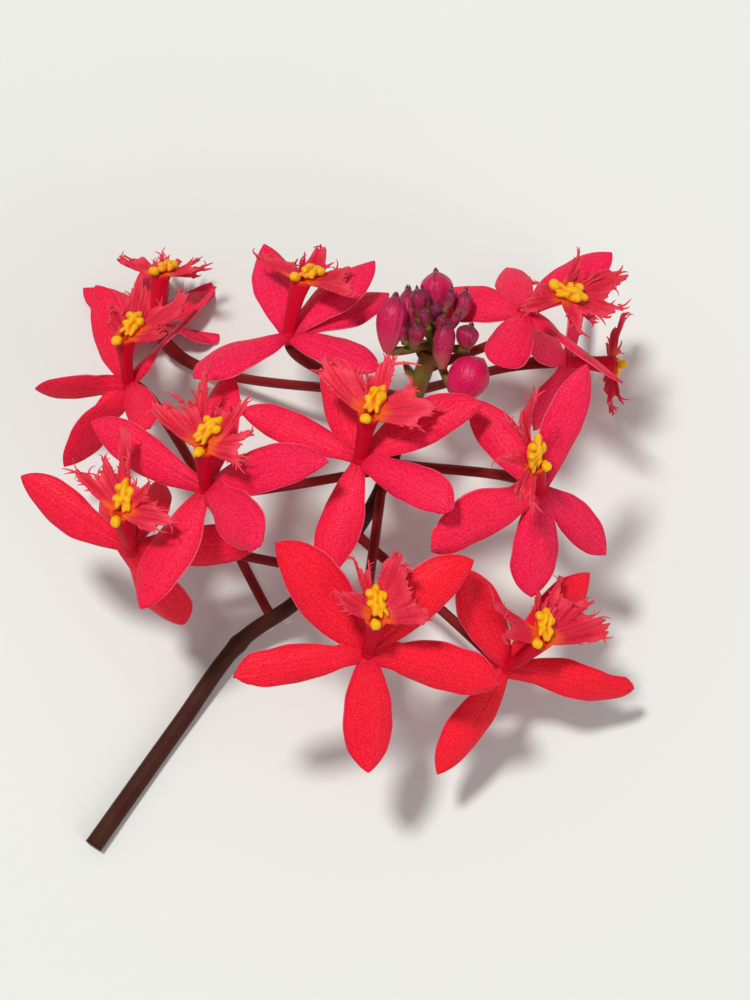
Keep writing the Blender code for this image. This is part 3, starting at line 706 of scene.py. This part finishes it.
def melted(centre, lumps, blend, rows, cols, axes):
    """Surface of lumps melted together, found by walking rays inward to a blended distance."""
    side, up, out = axes
    th = np.linspace(0, math.pi, rows + 2)[1:-1][:, None]
    ph = np.linspace(0, 2 * math.pi, cols, endpoint=False)[None, :]
    ray = np.stack([np.sin(th) * np.cos(ph), np.sin(th) * np.sin(ph), np.cos(th) + 0 * ph], -1)
    poles = np.array([[[0.0, 0.0, 1.0]], [[0.0, 0.0, -1.0]]])

    def walk(ray):
        d = np.full(ray.shape[:2], 7.0)
        for _ in range(46):
            p = centre + ray * d[..., None]
            total = 0.0
            for mid, radii in lumps:
                q = (p - np.array(mid)) / np.array(radii)
                k = np.linalg.norm(q, axis=-1)
                total = total + np.exp(-(k - 1) * min(radii) / blend)
            gap = -blend * np.log(np.maximum(total, 1e-30))
            d = np.maximum(d - 0.7 * gap, 0.05)
        return centre + ray * d[..., None]

    def place(p):
        return p[..., 0:1] * side + p[..., 1:2] * up + p[..., 2:3] * out
    grid = walk(ray)
    ends = place(walk(poles))
    return grid, place(grid), ends[0, 0], ends[1, 0]


# The crest on a lip and the cap over the mouth of its tube: lumps with their middles and
# radii, where the rays that find the skin start, how softly the lumps melt together, how far
# they stray, and how far the whole stands up and forward of the lip's base
CREST = dict(
    middle=(0.0, 0.9, 0.85), blend=0.12, stray=0.24, up=1.2, forward=0.25,
    lumps=(((0.0, 1.0, 0.40), (1.10, 1.55, 0.50)), ((0.05, 2.55, 0.90), (0.50, 0.80, 0.55)),
           ((-0.98, 1.60, 0.95), (0.62, 0.62, 0.60)), ((1.00, 1.35, 0.95), (0.60, 0.72, 0.60)),
           ((-0.30, 1.25, 1.25), (0.34, 0.95, 0.50)), ((0.36, 1.05, 1.25), (0.34, 0.95, 0.50)),
           ((-0.85, 0.15, 0.95), (0.50, 0.48, 0.45)), ((0.92, -0.10, 0.90), (0.42, 0.62, 0.45)),
           ((1.22, -1.05, 0.50), (0.26, 0.55, 0.30)), ((-0.25, -0.45, 0.80), (0.30, 0.34, 0.34)),
           ((-0.45, -1.15, 0.45), (0.34, 0.50, 0.36)), ((0.40, -1.35, 0.40), (0.34, 0.55, 0.36))))
CAP = dict(
    middle=(0.0, 0.0, 0.0), blend=0.10, stray=0.08, up=-2.35, forward=0.75,
    lumps=(((-0.20, 0.0, 0.0), (0.54, 0.72, 0.62)), ((0.20, 0.0, 0.0), (0.54, 0.72, 0.62)),
           ((0.0, 0.60, -0.25), (0.48, 0.42, 0.38))))


def crest_shells(name, f, rng):
    """The yellow crest on the lip and the cap on the tube's end, as melted lumps.

    Painted shade: the tint grows where the skin lies lower than the mean of the skin around it, and
    toward the crest's foot.
    """
    tube_side, _, _, tube_way, tube_up = flower_axes(f)
    rows, cols = ((52, 80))
    steps = (-6, -3, 3, 6)
    shells = []
    for kind, axes, (right, rise) in zip(
            (CREST, CAP), (lip_frame(name, f), (tube_side, tube_up, tube_way)),
            CREST_SHIFT.get(name, ((0, 0), (0, 0)))):
        middle = np.array(kind["middle"])
        stray = kind["stray"]
        lumps = [((m[0] + rng.uniform(-stray, stray), m[1] + rng.uniform(-stray, stray), m[2]),
                  tuple(k * rng.uniform(0.86, 1.16) for k in r)) for m, r in kind["lumps"]]
        grid, p, first, last = melted(middle, lumps, kind["blend"], rows, cols, axes)
        reach = np.linalg.norm(grid - middle, axis=-1)
        padded = np.pad(reach, ((9, 9), (0, 0)), "edge")
        around = sum(np.roll(padded, (i, j), (0, 1))[9:-9] for i in steps for j in steps) / 16
        # Painted shade in the hollows between the lumps
        low = 1.4 * np.clip(around - reach - 0.03, 0, 0.4)
        # Painted shade toward the crest's foot
        if kind is CREST:
            low = low + np.clip(0.75 - (grid[..., 2] - 0.1) / 1.2, 0, 1)
        up, way = axes[1:]
        shift = np.array([right, rise, -(right * way[0] + rise * way[1]) / way[2]])
        base = lip_base(f) + shift + (kind["up"] * up + kind["forward"] * way)
        p, q, uv, t, tu, tint = round_shell(p, first, last, low)
        shells.append((p + base, q[:, ::-1], uv[:, ::-1], t[:, ::-1], tu[:, ::-1], tint))
    return shells


def bud_shell(middle, way, length, thick, ripe, rng):
    """A bud: a club widest near its top, with three seams, a slight bow and a short point.

    The radius rises as 1-(1-t/w)^2.2 and falls as (1-q^2.2)^k from the widest place w.  A
    seam cuts in by a narrow bell, with a low ridge beside it.
    """
    way = unit(way)
    middle = np.array(middle)
    rows, cols = ((44, 60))
    t = np.linspace(0, 1, rows)[1:-1]
    h = (t - 0.5) * length
    wide, power = (0.54, 0.74) if ripe > 1 else (0.64, 0.85)
    rise = 1 - (1 - np.clip(t / wide, 0, 1)) ** 2.2
    fall = np.maximum(1 - np.clip((t - wide) / (1 - wide), 0, 1) ** 2.2, 0) ** power
    r = thick / 2 * np.minimum(0.20 + 0.80 * rise, fall)
    r = np.maximum(r, 0.10 * (1 - t))
    bow = unit(np.cross(way, (0.2, 0.1, 1.0))) * rng.uniform(-0.35, 0.35)
    path = middle + way * h[:, None] + bow * (np.sin(math.pi * t)[:, None])
    tangent = unit(np.gradient(path, axis=0))
    a = unit(HINT - (tangent @ HINT)[:, None] * tangent)
    b = np.cross(tangent, a)
    ang = np.linspace(0, 2 * math.pi, cols, endpoint=False)[None, :]
    start = rng.uniform(0, 6.28)
    gap = ((ang + start) * 3 / (2 * math.pi) + 0.5) % 1.0 - 0.5
    twist = gap + 0.10 * np.sin(3 * t)[:, None]
    seam = np.exp(-(twist / 0.045) ** 2)
    ridge = np.exp(-((twist - 0.09) / 0.05) ** 2)
    rr = r[:, None] * (1 - 0.075 * seam + 0.045 * ridge + 0.03 * np.cos(3 * (ang + start)))
    p = path[:, None] + rr[..., None] * (np.cos(ang)[..., None] * a[:, None]
                                         + np.sin(ang)[..., None] * b[:, None])
    return round_shell(p, path[0], path[-1] + way * 0.25, ripe - 0.45 * seam)


def bud_horns(middle, way, length, thick, rng):
    """Two short dark points close together at a bud's top: tapering tubes leaning inward."""
    way = unit(way)
    top = np.array(middle) + way * length * 0.44
    side = unit(np.cross(way, (0.3, 0.2, 1.0)))
    back = np.cross(way, side)
    shells = []
    for i in range(2):
        a = 3.1 * i + rng.uniform(0, 1.2)
        off = (math.cos(a) * side + math.sin(a) * back) * (0.10 + 0.06 * thick)
        t = np.linspace(0, 1, 9)[:, None]
        path = top + off + way * t * (0.06 * length + 0.45) - off * 0.6 * t ** 2
        shells.append(tube(path, (0.12 + 0.05 * thick) * (1 - 0.8 * t[:, 0] ** 2), 10, tint=0.0))
    return shells


def bract(root, way, face, length, width, tint):
    """A small scale leaf: half width as sin(pi (0.25 + 0.75 u))^0.8, cupped, bent inward."""
    along = unit(way)
    face = unit(face - np.dot(face, along) * along)
    side = np.cross(along, face)
    u = np.linspace(0, 1, 16)[:, None]
    v = np.linspace(-1, 1, 9)[None, :]
    w = width / 2 * np.maximum(np.sin(math.pi * (0.25 + 0.75 * u)), 0.02) ** 0.8
    lift = -0.35 * w * v ** 2 - 0.15 * length * u ** 2
    p = (root + (u * length)[..., None] * along + (w * v)[..., None] * side
         + lift[..., None] * face)
    return sheet(p, 0.22, tint)


# Materials

class Net:
    """Small helper that adds nodes to a tree and joins or sets their inputs by name."""

    def __init__(self, tree):
        self.tree = tree

    def add(self, kind, inputs=None, **settings):
        node = self.tree.nodes.new(kind)
        for key, value in settings.items():
            setattr(node, key, value)
        for key, value in (inputs or {}).items():
            self.give(node.inputs[key], value)
        return node

    def give(self, socket, value):
        if isinstance(value, bpy.types.NodeSocket):
            self.tree.links.new(value, socket)
        else:
            socket.default_value = value

    def math(self, how, a, b=0.0):
        return self.add("ShaderNodeMath", {0: a, 1: b}, operation=how).outputs[0]

    def times(self, a, b):
        return self.math("MULTIPLY", a, b)

    def spread(self, value, low, high, to_low=0.0, to_high=1.0):
        """Map one range of values to another, held at its ends."""
        return self.add("ShaderNodeMapRange", {
            "Value": value, "From Min": low, "From Max": high,
            "To Min": to_low, "To Max": to_high}).outputs[0]

    def mix(self, amount, a, b):
        """Mix two colours, each a socket or a colour of three parts."""
        a, b = (v if isinstance(v, bpy.types.NodeSocket) else (*v, 1.0) for v in (a, b))
        return self.add("ShaderNodeMix", {0: amount, 6: a, 7: b}, data_type="RGBA").outputs[2]

    def lay(self, col, *layers):
        """Lay colours over another, each by its mask times an amount."""
        for colour, mask, amount in layers:
            col = self.mix(self.times(mask, amount), col, colour)
        return col

    def noise(self, where, scale, detail):
        """A soft noise from 0 to 1."""
        return self.add("ShaderNodeTexNoise", {"Vector": where, "Scale": scale, "Detail": detail,
                                               "Roughness": 0.5}).outputs["Fac"]


def new_group(name, inputs, outputs):
    """A node group of floats: inputs with their defaults, and outputs."""
    group = bpy.data.node_groups.new(name, "ShaderNodeTree")
    for label, default in inputs:
        socket = group.interface.new_socket(label, in_out="INPUT", socket_type="NodeSocketFloat")
        socket.default_value = default
    for label in outputs:
        group.interface.new_socket(label, in_out="OUTPUT", socket_type="NodeSocketFloat")
    net = Net(group)
    return group, net, net.add("NodeGroupInput").outputs, net.add("NodeGroupOutput").inputs


def cell_grain_group():
    """Fine cells of a petal's skin: sparkle, blotches and a height for bump. Sizes in mm."""
    if "cell grain" in bpy.data.node_groups:
        return bpy.data.node_groups["cell grain"]
    group, net, given, out = new_group("cell grain", [("Cell Size", 0.3), ("Blotch Size", 3.0)],
                                       ["Sparkle", "Blotch", "Height"])
    where = net.add("ShaderNodeTexCoord").outputs["Object"]
    fine = net.math("DIVIDE", 1 / MM, given["Cell Size"])
    broad = net.math("DIVIDE", 1 / MM, given["Blotch Size"])
    cells = net.add("ShaderNodeTexVoronoi", {"Vector": where, "Scale": fine}, feature="F1")
    noise = net.noise(where, net.times(fine, 1.9), 1.0)
    blotch = net.noise(where, broad, 3.0)
    net.give(out["Sparkle"], net.spread(noise, 0.40, 0.60))
    net.give(out["Blotch"], net.spread(blotch, 0.35, 0.65))
    net.give(out["Height"], net.math("SUBTRACT", noise, net.times(cells.outputs["Distance"], 0.7)))
    return group


def long_veins_group():
    """Lines that run from base to tip along a piece's UV map, a little uneven."""
    if "long veins" in bpy.data.node_groups:
        return bpy.data.node_groups["long veins"]
    group, net, given, out = new_group("long veins", [("Count", 11.0), ("Wander", 0.3)],
                                       ["Lines", "Across", "Along"])
    uv = net.add("ShaderNodeUVMap", uv_map="UVMap").outputs[0]
    u, v = net.add("ShaderNodeSeparateXYZ", {0: uv}).outputs[:2]
    wander = net.noise(uv, 6.0, 2.0)
    phase = net.math("ADD", u, net.times(net.times(wander, 0.1), given["Wander"]))
    wave = net.math("SINE", net.times(phase, net.times(given["Count"], 2 * math.pi)))
    net.give(out["Lines"], net.spread(wave, 0.2, 1.0))
    net.give(out["Across"], net.times(net.math("ABSOLUTE", net.math("SUBTRACT", u, 0.5)), 2.0))
    net.give(out["Along"], v)
    return group


def use_group(net, group, **inputs):
    """Add a node group with its inputs set, and give its outputs."""
    node = net.add("ShaderNodeGroup", node_tree=group)
    for key, value in inputs.items():
        net.give(node.inputs[key.replace("_", " ").title()], value)
    return node.outputs


def new_material(name):
    """A material with nodes, and the helper that adds to them."""
    mat = bpy.data.materials.new(name)
    mat.use_nodes = True
    return mat, Net(mat.node_tree)


def skin_material(name, cell_size, blotch_size):
    """A new material with its helper, its cell grain and the tint of its points."""
    mat, net = new_material(name)
    grain = use_group(net, cell_grain_group(), cell_size=cell_size, blotch_size=blotch_size)
    return mat, net, grain, net.add("ShaderNodeAttribute", attribute_name="tint").outputs["Fac"]


def long_veins(net, count, wander):
    """The masks of the long veins: how many there are, and how far they wander."""
    return use_group(net, long_veins_group(), count=count, wander=wander)


def grooved(net, grain, lines, fine, groove):
    """Height of the cells times fine, with grooves along the lines."""
    return net.math("ADD", net.times(grain["Height"], fine), net.times(lines, -groove))


def set_skin(net, col, height, deep, strength, roughness, shine):
    """Join colour, bump, roughness and shine to the shader. deep is the bump's depth in mm."""
    bump = net.add("ShaderNodeBump", {"Height": height, "Distance": deep * MM, "Strength": strength})
    shader = net.tree.nodes["Principled BSDF"]
    net.give(shader.inputs["Base Color"], col)
    net.give(shader.inputs["Normal"], bump.outputs[0])
    net.give(shader.inputs["Roughness"], roughness)
    net.give(shader.inputs["Specular IOR Level"], shine)


def tepal_material(c):
    """Scarlet to crimson skin: cell sparkle, faint veins, a painted highlight along the edges, mauve
    tip, painted shade at the foot.
    """
    mat, net, grain, tint = skin_material("crimson tepal", 0.30, 3.5)
    veins = long_veins(net, 11.0, 1.6)
    col = net.lay(
        net.mix(tint, c.cool_red, c.warm_red),
        (c.deep_red, grain["Blotch"], 0.15),
        (c.deep_red, net.spread(grain["Sparkle"], 0.5, 0.0), 0.26),
        (net.mix(tint, c.pale_pink, c.pale_scarlet), grain["Sparkle"], 0.50),
        (c.deep_red, veins["Lines"], 0.13),
        # Darker toward both sides of each tepal
        (c.deep_red, net.spread(veins["Across"], 0.55, 0.76), 0.28),
        # Painted highlight: a pale rim along the edges of each tepal
        (c.rim_highlight_pink, net.spread(veins["Across"], 0.80, 0.87), 0.55),
        (c.mauve, net.spread(veins["Along"], 0.955, 1.0), 0.30),
        # Painted shade at the foot of each tepal, under the tube and lip
        (c.deep_red, net.spread(veins["Along"], 0.16, 0.02), 0.5))
    rough = net.spread(grain["Sparkle"], 0, 1, 0.62, 0.42)
    set_skin(net, col, grooved(net, grain, veins["Lines"], 0.5, 0.5), 0.08, 0.7, rough, 0.11)
    return mat


def lip_material(c):
    """Coral to crimson lip: radiating veins, orange stain at the throat, paler fringe."""
    mat, net, grain, tint = skin_material("coral lip", 0.26, 2.0)
    veins = long_veins(net, 13.0, 3.0)
    lines = net.times(veins["Lines"], net.spread(veins["Along"], 0.84, 0.55))
    fringe = net.spread(veins["Along"], 0.72, 0.92)
    col = net.lay(
        net.mix(tint, c.lip_coral, c.lip_crimson),
        (c.deep_red, lines, 0.20),
        (c.deep_red, grain["Blotch"], 0.25),
        (c.fringe_pink, grain["Sparkle"], 0.22),
        (c.fringe_pink, fringe, net.spread(tint, 0.2, 1, 0.5, 0.25)),
        (c.throat_orange, net.spread(veins["Along"], 0.34, 0.14), 0.8))
    rough = net.spread(grain["Sparkle"], 0, 1, 0.6, 0.42)
    set_skin(net, col, grooved(net, grain, lines, 0.5, 0.5), 0.10, 0.8, rough, 0.18)
    return mat


def tube_material(c):
    """Dark crimson tube that turns orange at its mouth."""
    mat, net, grain, _ = skin_material("dark crimson tube", 0.30, 2.0)
    veins = long_veins(net, 12.0, 0.8)
    col = net.lay(
        c.tube_red,
        (c.cool_red, grain["Sparkle"], 0.14),
        (c.deep_red, veins["Lines"], 0.15),
        (c.throat_orange, net.spread(veins["Along"], 0.78, 0.86), 0.6),
        (c.throat_pit, net.spread(veins["Along"], 0.90, 0.95), 1.0))
    set_skin(net, col, grain["Height"], 0.08, 0.7, 0.5, 0.08)
    return mat


def crest_material(c):
    """Waxy yellow, with painted shade in orange in the folds and toward the foot, from the depth tint.
    """
    mat, net, grain, tint = skin_material("yellow crest", 0.22, 0.9)
    col = net.lay(
        # Painted shade: yellow turns orange where the tint marks the hollows and the foot
        net.mix(net.spread(tint, 0.12, 0.62), c.crest_yellow, c.throat_orange),
        (c.crest_amber, grain["Blotch"], 0.25))
    set_skin(net, col, grain["Height"], 0.06, 0.6, 0.36, 0.2)
    return mat


def bud_material(c):
    """Magenta bud with dark seams and streaks and a dark purple, shining point."""
    mat, net, grain, tint = skin_material("magenta bud", 0.30, 1.6)
    veins = long_veins(net, 13.0, 1.4)
    tip = net.spread(veins["Along"], 0.74, 0.97)
    foot = net.times(net.spread(veins["Along"], 0.45, 0.05), net.spread(tint, 0.95, 0.5))
    col = net.lay(
        net.mix(tint, c.bud_dark, c.bud_magenta),
        (c.bud_vein, veins["Lines"], 0.40),
        (c.bud_pink, grain["Sparkle"], 0.35),
        (c.bud_dark, tip, net.spread(tint, 1.05, 0.5, 0.25, 0.8)),
        (c.bud_green, foot, 0.6))
    set_skin(net, col, grooved(net, grain, veins["Lines"], 1.0, 0.6), 0.08, 0.7, 0.30, 0.24)
    return mat


def stem_material(c):
    """Maroon stem: streaks along it, olive blotches, a thin wax shine."""
    mat, net, grain, tint = skin_material("maroon stem", 0.35, 5.0)
    veins = long_veins(net, 10.0, 1.5)
    col = net.lay(
        net.mix(tint, c.stem_brown, c.stalk_maroon),
        (c.stem_streak, veins["Lines"], 0.25),
        (c.stem_olive, grain["Blotch"], net.spread(tint, 0.9, 0.0, 0.05, 0.35)))
    set_skin(net, col, grooved(net, grain, veins["Lines"], 1.0, 0.8), 0.08, 0.7, 0.55, 0.12)
    return mat


def green_material(c):
    """Young green tip of the flower stem, flushed with maroon."""
    mat, net, grain, _ = skin_material("green tip", 0.3, 1.5)
    col = net.lay(c.tip_green, (c.stalk_maroon, grain["Blotch"], 0.6))
    set_skin(net, col, grain["Height"], 0.06, 0.6, 0.42, 0.3)
    return mat


# Sizes and colours

def length_prop(name, text, value):
    return bpy.props.FloatProperty(name=name, description=text, default=value, min=0.0, precision=5,
                                   subtype="DISTANCE", unit="LENGTH")


def colour_prop(name, text, value):
    return bpy.props.FloatVectorProperty(name=name, description=text, subtype="COLOR", size=3,
                                         min=0.0, max=1.0, default=value)


class OrchidSizes(bpy.types.PropertyGroup):
    """Thicknesses of the thin sheets."""
    tepal_thick: length_prop("Tepal thickness", "Thickness of a tepal at its foot", 0.00055)
    lip_thick: length_prop("Lip thickness", "Thickness of the lip at the throat", 0.00045)


class OrchidColours(bpy.types.PropertyGroup):
    """Main colours of the flower head."""
    warm_red: colour_prop("Warm red", "Tepals that lean to orange", (0.88, 0.0012, 0.013))
    cool_red: colour_prop("Cool red", "Tepals that lean to pink", (0.85, 0.0015, 0.058))
    # Deep red is also the painted shade at the feet of the tepals
    deep_red: colour_prop("Deep red", "Veins and shaded claws", (0.46, 0.001, 0.024))
    pale_pink: colour_prop("Pale pink", "Sparkle of cool tepals", (1.0, 0.062, 0.17))
    pale_scarlet: colour_prop("Pale scarlet", "Sparkle of warm tepals", (1.0, 0.04, 0.07))
    # Painted highlight: the pale rim along the tepals' edges
    rim_highlight_pink: colour_prop("Edge pink", "Thin pale edge of the tepals", (1.0, 0.17, 0.28))
    mauve: colour_prop("Mauve", "Tips of the tepals", (0.62, 0.06, 0.22))
    lip_coral: colour_prop("Lip coral", "Palest lip", (0.80, 0.018, 0.055))
    lip_crimson: colour_prop("Lip crimson", "Deepest lip", (0.62, 0.004, 0.030))
    fringe_pink: colour_prop("Fringe pink", "Threads at the ends of the lip", (0.95, 0.10, 0.145))
    tube_red: colour_prop("Tube red", "Tube below the lip", (0.56, 0.0008, 0.018))
    # Also the colour of the painted shade in the hollows of the crest and cap
    throat_orange: colour_prop("Throat orange", "Mouth of the tube", (0.90, 0.13, 0.005))
    throat_pit: colour_prop("Throat pit", "Inside of the tube's mouth", (0.62, 0.045, 0.004))
    crest_yellow: colour_prop("Crest yellow", "Top of the crest", (0.88, 0.46, 0.004))
    crest_amber: colour_prop("Crest amber", "Blotches on the crest", (0.74, 0.24, 0.002))
    bud_magenta: colour_prop("Bud magenta", "Ripe buds", (0.64, 0.003, 0.080))
    bud_pink: colour_prop("Bud pink", "Sparkle on buds", (0.86, 0.03, 0.17))
    bud_vein: colour_prop("Bud vein", "Streaks on buds", (0.30, 0.003, 0.045))
    bud_green: colour_prop("Bud green", "Feet of young buds", (0.48, 0.22, 0.12))
    bud_dark: colour_prop("Bud dark", "Small buds and bud tips", (0.075, 0.016, 0.034))
    stalk_maroon: colour_prop("Stalk maroon", "Flower stalks", (0.24, 0.010, 0.012))
    stem_brown: colour_prop("Stem brown", "Main stem", (0.050, 0.008, 0.006))
    stem_streak: colour_prop("Stem streak", "Dark streaks along the stem", (0.05, 0.004, 0.004))
    stem_olive: colour_prop("Stem olive", "Blotches on the stem", (0.07, 0.035, 0.012))
    tip_green: colour_prop("Tip green", "Growing tip", (0.13, 0.145, 0.016))
    floor_fleck: colour_prop("Floor fleck", "Faint unevenness of the floor", (0.7, 0.7, 0.66))
    floor: colour_prop("Floor", "Pale floor", (0.745, 0.757, 0.728))


def colours():
    return bpy.context.scene.orchid_colours


def sizes():
    return bpy.context.scene.orchid_sizes


# Operators

class ORCHID_OT_tepals(bpy.types.Operator):
    """Make the five tepals of every flower"""
    bl_idname = "orchid.tepals"
    bl_label = "Tepals"

    def execute(self, context):
        mat = tepal_material(colours())
        for name, f in FLOWERS.items():
            rng = random.Random("tepal " + name)
            shells = [tepal(f, name, key, rng, sizes().tepal_thick / MM) for key in SIZES]
            build_piece("tepals_" + name, shells, mat, ["bloom_" + name])
        return {"FINISHED"}


class ORCHID_OT_lips(bpy.types.Operator):
    """Make the tube and the fringed lip of every flower"""
    bl_idname = "orchid.lips"
    bl_label = "Tubes and lips"

    def execute(self, context):
        lip = lip_material(colours())
        dark = tube_material(colours())
        for name, f in FLOWERS.items():
            rng = random.Random("lip " + name)
            build_piece("lip_" + name, lip_shells(name, f, rng, sizes().lip_thick / MM), lip,
                        ["bloom_" + name])
            build_piece("tube_" + name, [throat_tube(f), hub_shell(f)], dark,
                        ["bloom_" + name])
        return {"FINISHED"}


class ORCHID_OT_crests(bpy.types.Operator):
    """Make the yellow crest and cap of every flower"""
    bl_idname = "orchid.crests"
    bl_label = "Crests and caps"

    def execute(self, context):
        mat = crest_material(colours())
        for name, f in FLOWERS.items():
            rng = random.Random("crest " + name)
            build_piece("crest_" + name, crest_shells(name, f, rng), mat,
                        ["callus_" + name])
        return {"FINISHED"}


class ORCHID_OT_buds(bpy.types.Operator):
    """Make the cluster of buds, the growing tip and its scale leaves"""
    bl_idname = "orchid.buds"
    bl_label = "Buds"

    def execute(self, context):
        rng = random.Random("buds")
        buds = []
        stalks = []
        top = stem_point(np.array(1.0))
        away = unit(top - stem_point(np.array(0.97)))
        start = top + away * 0.1
        t = np.linspace(0, 1, 12)[:, None]
        tip = start + away * 5.4 * t + np.array([0, 0.6, 0]) * 4 * t * (1 - t)
        stalks.append(tube(tip, 1.0 - 0.5 * t[:, 0] ** 2, 14, flutes=0.05))
        sheath = stem_point(np.linspace(0.87, 1.0, 20))
        stalks.append(tube(sheath, np.linspace(1.25, 1.35, 20), 18, tint=0.4, flutes=0.06))
        for place, way, length in SCALE_LEAVES:
            root = stem_point(np.array(place)) + unit(way) * 0.9
            along = np.array(way) + (0, 0.8, 0)
            face = np.array(way) * (-1, -0.2, 1)
            stalks.append(bract(root, along, face, length, 1.9, 0.9))
        for middle, way, length, thick, ripe in BUDS + SMALL_BUDS:
            buds.append(bud_shell(middle, way, length, thick, ripe, rng))
            if ripe < 1.0:
                buds += bud_horns(middle, way, length, thick, rng)
            way = unit(way)
            foot = np.array(middle) - way * length * 0.44
            root = start + away * 1.6
            bow = (foot + root) / 2 - way * 1.0
            path = (1 - t) ** 2 * root + 2 * t * (1 - t) * bow + t ** 2 * foot
            stalks.append(tube(path, min(0.62, 0.24 * thick) + 0.12 * t[:, 0] ** 3, 10, tint=ripe))
        build_piece("buds", buds, bud_material(colours()), ["bud_cluster"])
        build_piece("bud_stalks", stalks, green_material(colours()), ["bud_cluster"])
        return {"FINISHED"}


class ORCHID_OT_stem(bpy.types.Operator):
    """Make the stem and the flower stalks"""
    bl_idname = "orchid.stem"
    bl_label = "Stem and stalks"

    def execute(self, context):
        shells = []
        t = np.linspace(0, 1, 140)
        path = stem_point(t)
        radii = STEM_RADIUS * (1.0 - STEM_TAPER * t)
        for joint in STEM_JOINTS:
            radii = radii + JOINT_SWELL * np.exp(-((t - joint) / JOINT_LENGTH) ** 2)
        shells.append(tube(path, radii, 26, tint=0.0, flutes=0.02, flute_count=7))
        for name in FLOWERS:
            p = rest_on_floor(stalk_path(name, 48), 1.05)
            s = np.linspace(0, 1, 48)
            swell = np.clip((s - 0.55) / 0.45, 0, 1)
            r = STALK_RADIUS + (OVARY_RADIUS - STALK_RADIUS) * (3 * swell ** 2 - 2 * swell ** 3)
            shells.append(tube(p, r, 18, tint=0.9, flutes=0.05))
        build_piece("stem_and_stalks", shells, stem_material(colours()), ["stem"])
        return {"FINISHED"}


class ORCHID_OT_stage(bpy.types.Operator):
    """Make the floor, the lights and the camera"""
    bl_idname = "orchid.stage"
    bl_label = "Floor, lights and camera"

    def execute(self, context):
        scene = context.scene
        mesh = bpy.data.meshes.new("floor")
        r = FLOOR_REACH
        mesh.from_pydata([(-r, -r, 0), (r, -r, 0), (r, r, 0), (-r, r, 0)], [], [(0, 1, 2, 3)])
        floor = bpy.data.objects.new("floor", mesh)
        scene.collection.objects.link(floor)
        mat, net = new_material("pale floor")
        where = net.add("ShaderNodeTexCoord").outputs["Object"]
        shader = net.tree.nodes["Principled BSDF"]
        net.give(shader.inputs["Base Color"], net.lay(
            colours().floor, (colours().floor_fleck, net.noise(where, 900.0, 2.0), 0.04)))
        net.give(shader.inputs["Roughness"], 0.9)
        mesh.materials.append(mat)

        world = bpy.data.worlds.new("soft room")
        world.use_nodes = True
        back = world.node_tree.nodes["Background"]
        back.inputs[0].default_value = (1.0, 1.0, 1.0, 1)
        back.inputs[1].default_value = ROOM_LIGHT
        scene.world = world

        aim = to_world(np.array(AIM))
        for label, (way, far, size, power, colour) in LAMPS.items():
            data = bpy.data.lights.new(label, "AREA")
            data.shape = "DISK"
            data.size = size
            data.energy = power
            data.color = colour
            lamp = bpy.data.objects.new(label, data)
            place = aim + (to_world(unit(way)) - to_world(np.zeros(3))) / MM * far
            lamp.location = place
            back_way = unit(place - aim)
            lamp.rotation_euler = (math.acos(back_way[2]), 0.0,
                                   math.atan2(back_way[1], back_way[0]) + math.pi / 2)
            scene.collection.objects.link(lamp)

        data = bpy.data.cameras.new("camera")
        data.sensor_fit = "VERTICAL"
        data.sensor_height = SENSOR
        data.lens = SENSOR * VIEW_DISTANCE / FRAME_HEIGHT
        data.clip_start = 0.01
        camera = bpy.data.objects.new("camera", data)
        camera.location = to_world(np.array([0.0, 0.0, VIEW_DISTANCE]))
        camera.rotation_euler = (math.pi / 2 - LOOK_DOWN, 0.0, 0.0)
        scene.collection.objects.link(camera)
        scene.camera = camera
        scene.view_settings.view_transform = "Standard"
        return {"FINISHED"}


class ORCHID_PT_panel(bpy.types.Panel):
    """Sizes, colours and buttons for the flower head"""
    bl_label = "Orchid"
    bl_idname = "ORCHID_PT_panel"
    bl_space_type = "VIEW_3D"
    bl_region_type = "UI"
    bl_category = "Orchid"

    def draw(self, context):
        for group in (context.scene.orchid_sizes, context.scene.orchid_colours):
            for key in group.__annotations__:
                self.layout.prop(group, key)
        for tool in TOOLS:
            self.layout.operator(tool.bl_idname)


TOOLS = (ORCHID_OT_tepals, ORCHID_OT_lips, ORCHID_OT_crests, ORCHID_OT_buds, ORCHID_OT_stem,
         ORCHID_OT_stage)
CLASSES = (OrchidSizes, OrchidColours) + TOOLS + (ORCHID_PT_panel,)


def register():
    for cls in CLASSES:
        bpy.utils.register_class(cls)
    bpy.types.Scene.orchid_sizes = bpy.props.PointerProperty(type=OrchidSizes)
    bpy.types.Scene.orchid_colours = bpy.props.PointerProperty(type=OrchidColours)


def unregister():
    del bpy.types.Scene.orchid_colours
    del bpy.types.Scene.orchid_sizes
    for cls in reversed(CLASSES):
        bpy.utils.unregister_class(cls)


def main():
    register()
    bpy.ops.orchid.tepals()
    bpy.ops.orchid.lips()
    bpy.ops.orchid.crests()
    bpy.ops.orchid.buds()
    bpy.ops.orchid.stem()
    bpy.ops.orchid.stage()


if __name__ == "__main__":
    main()
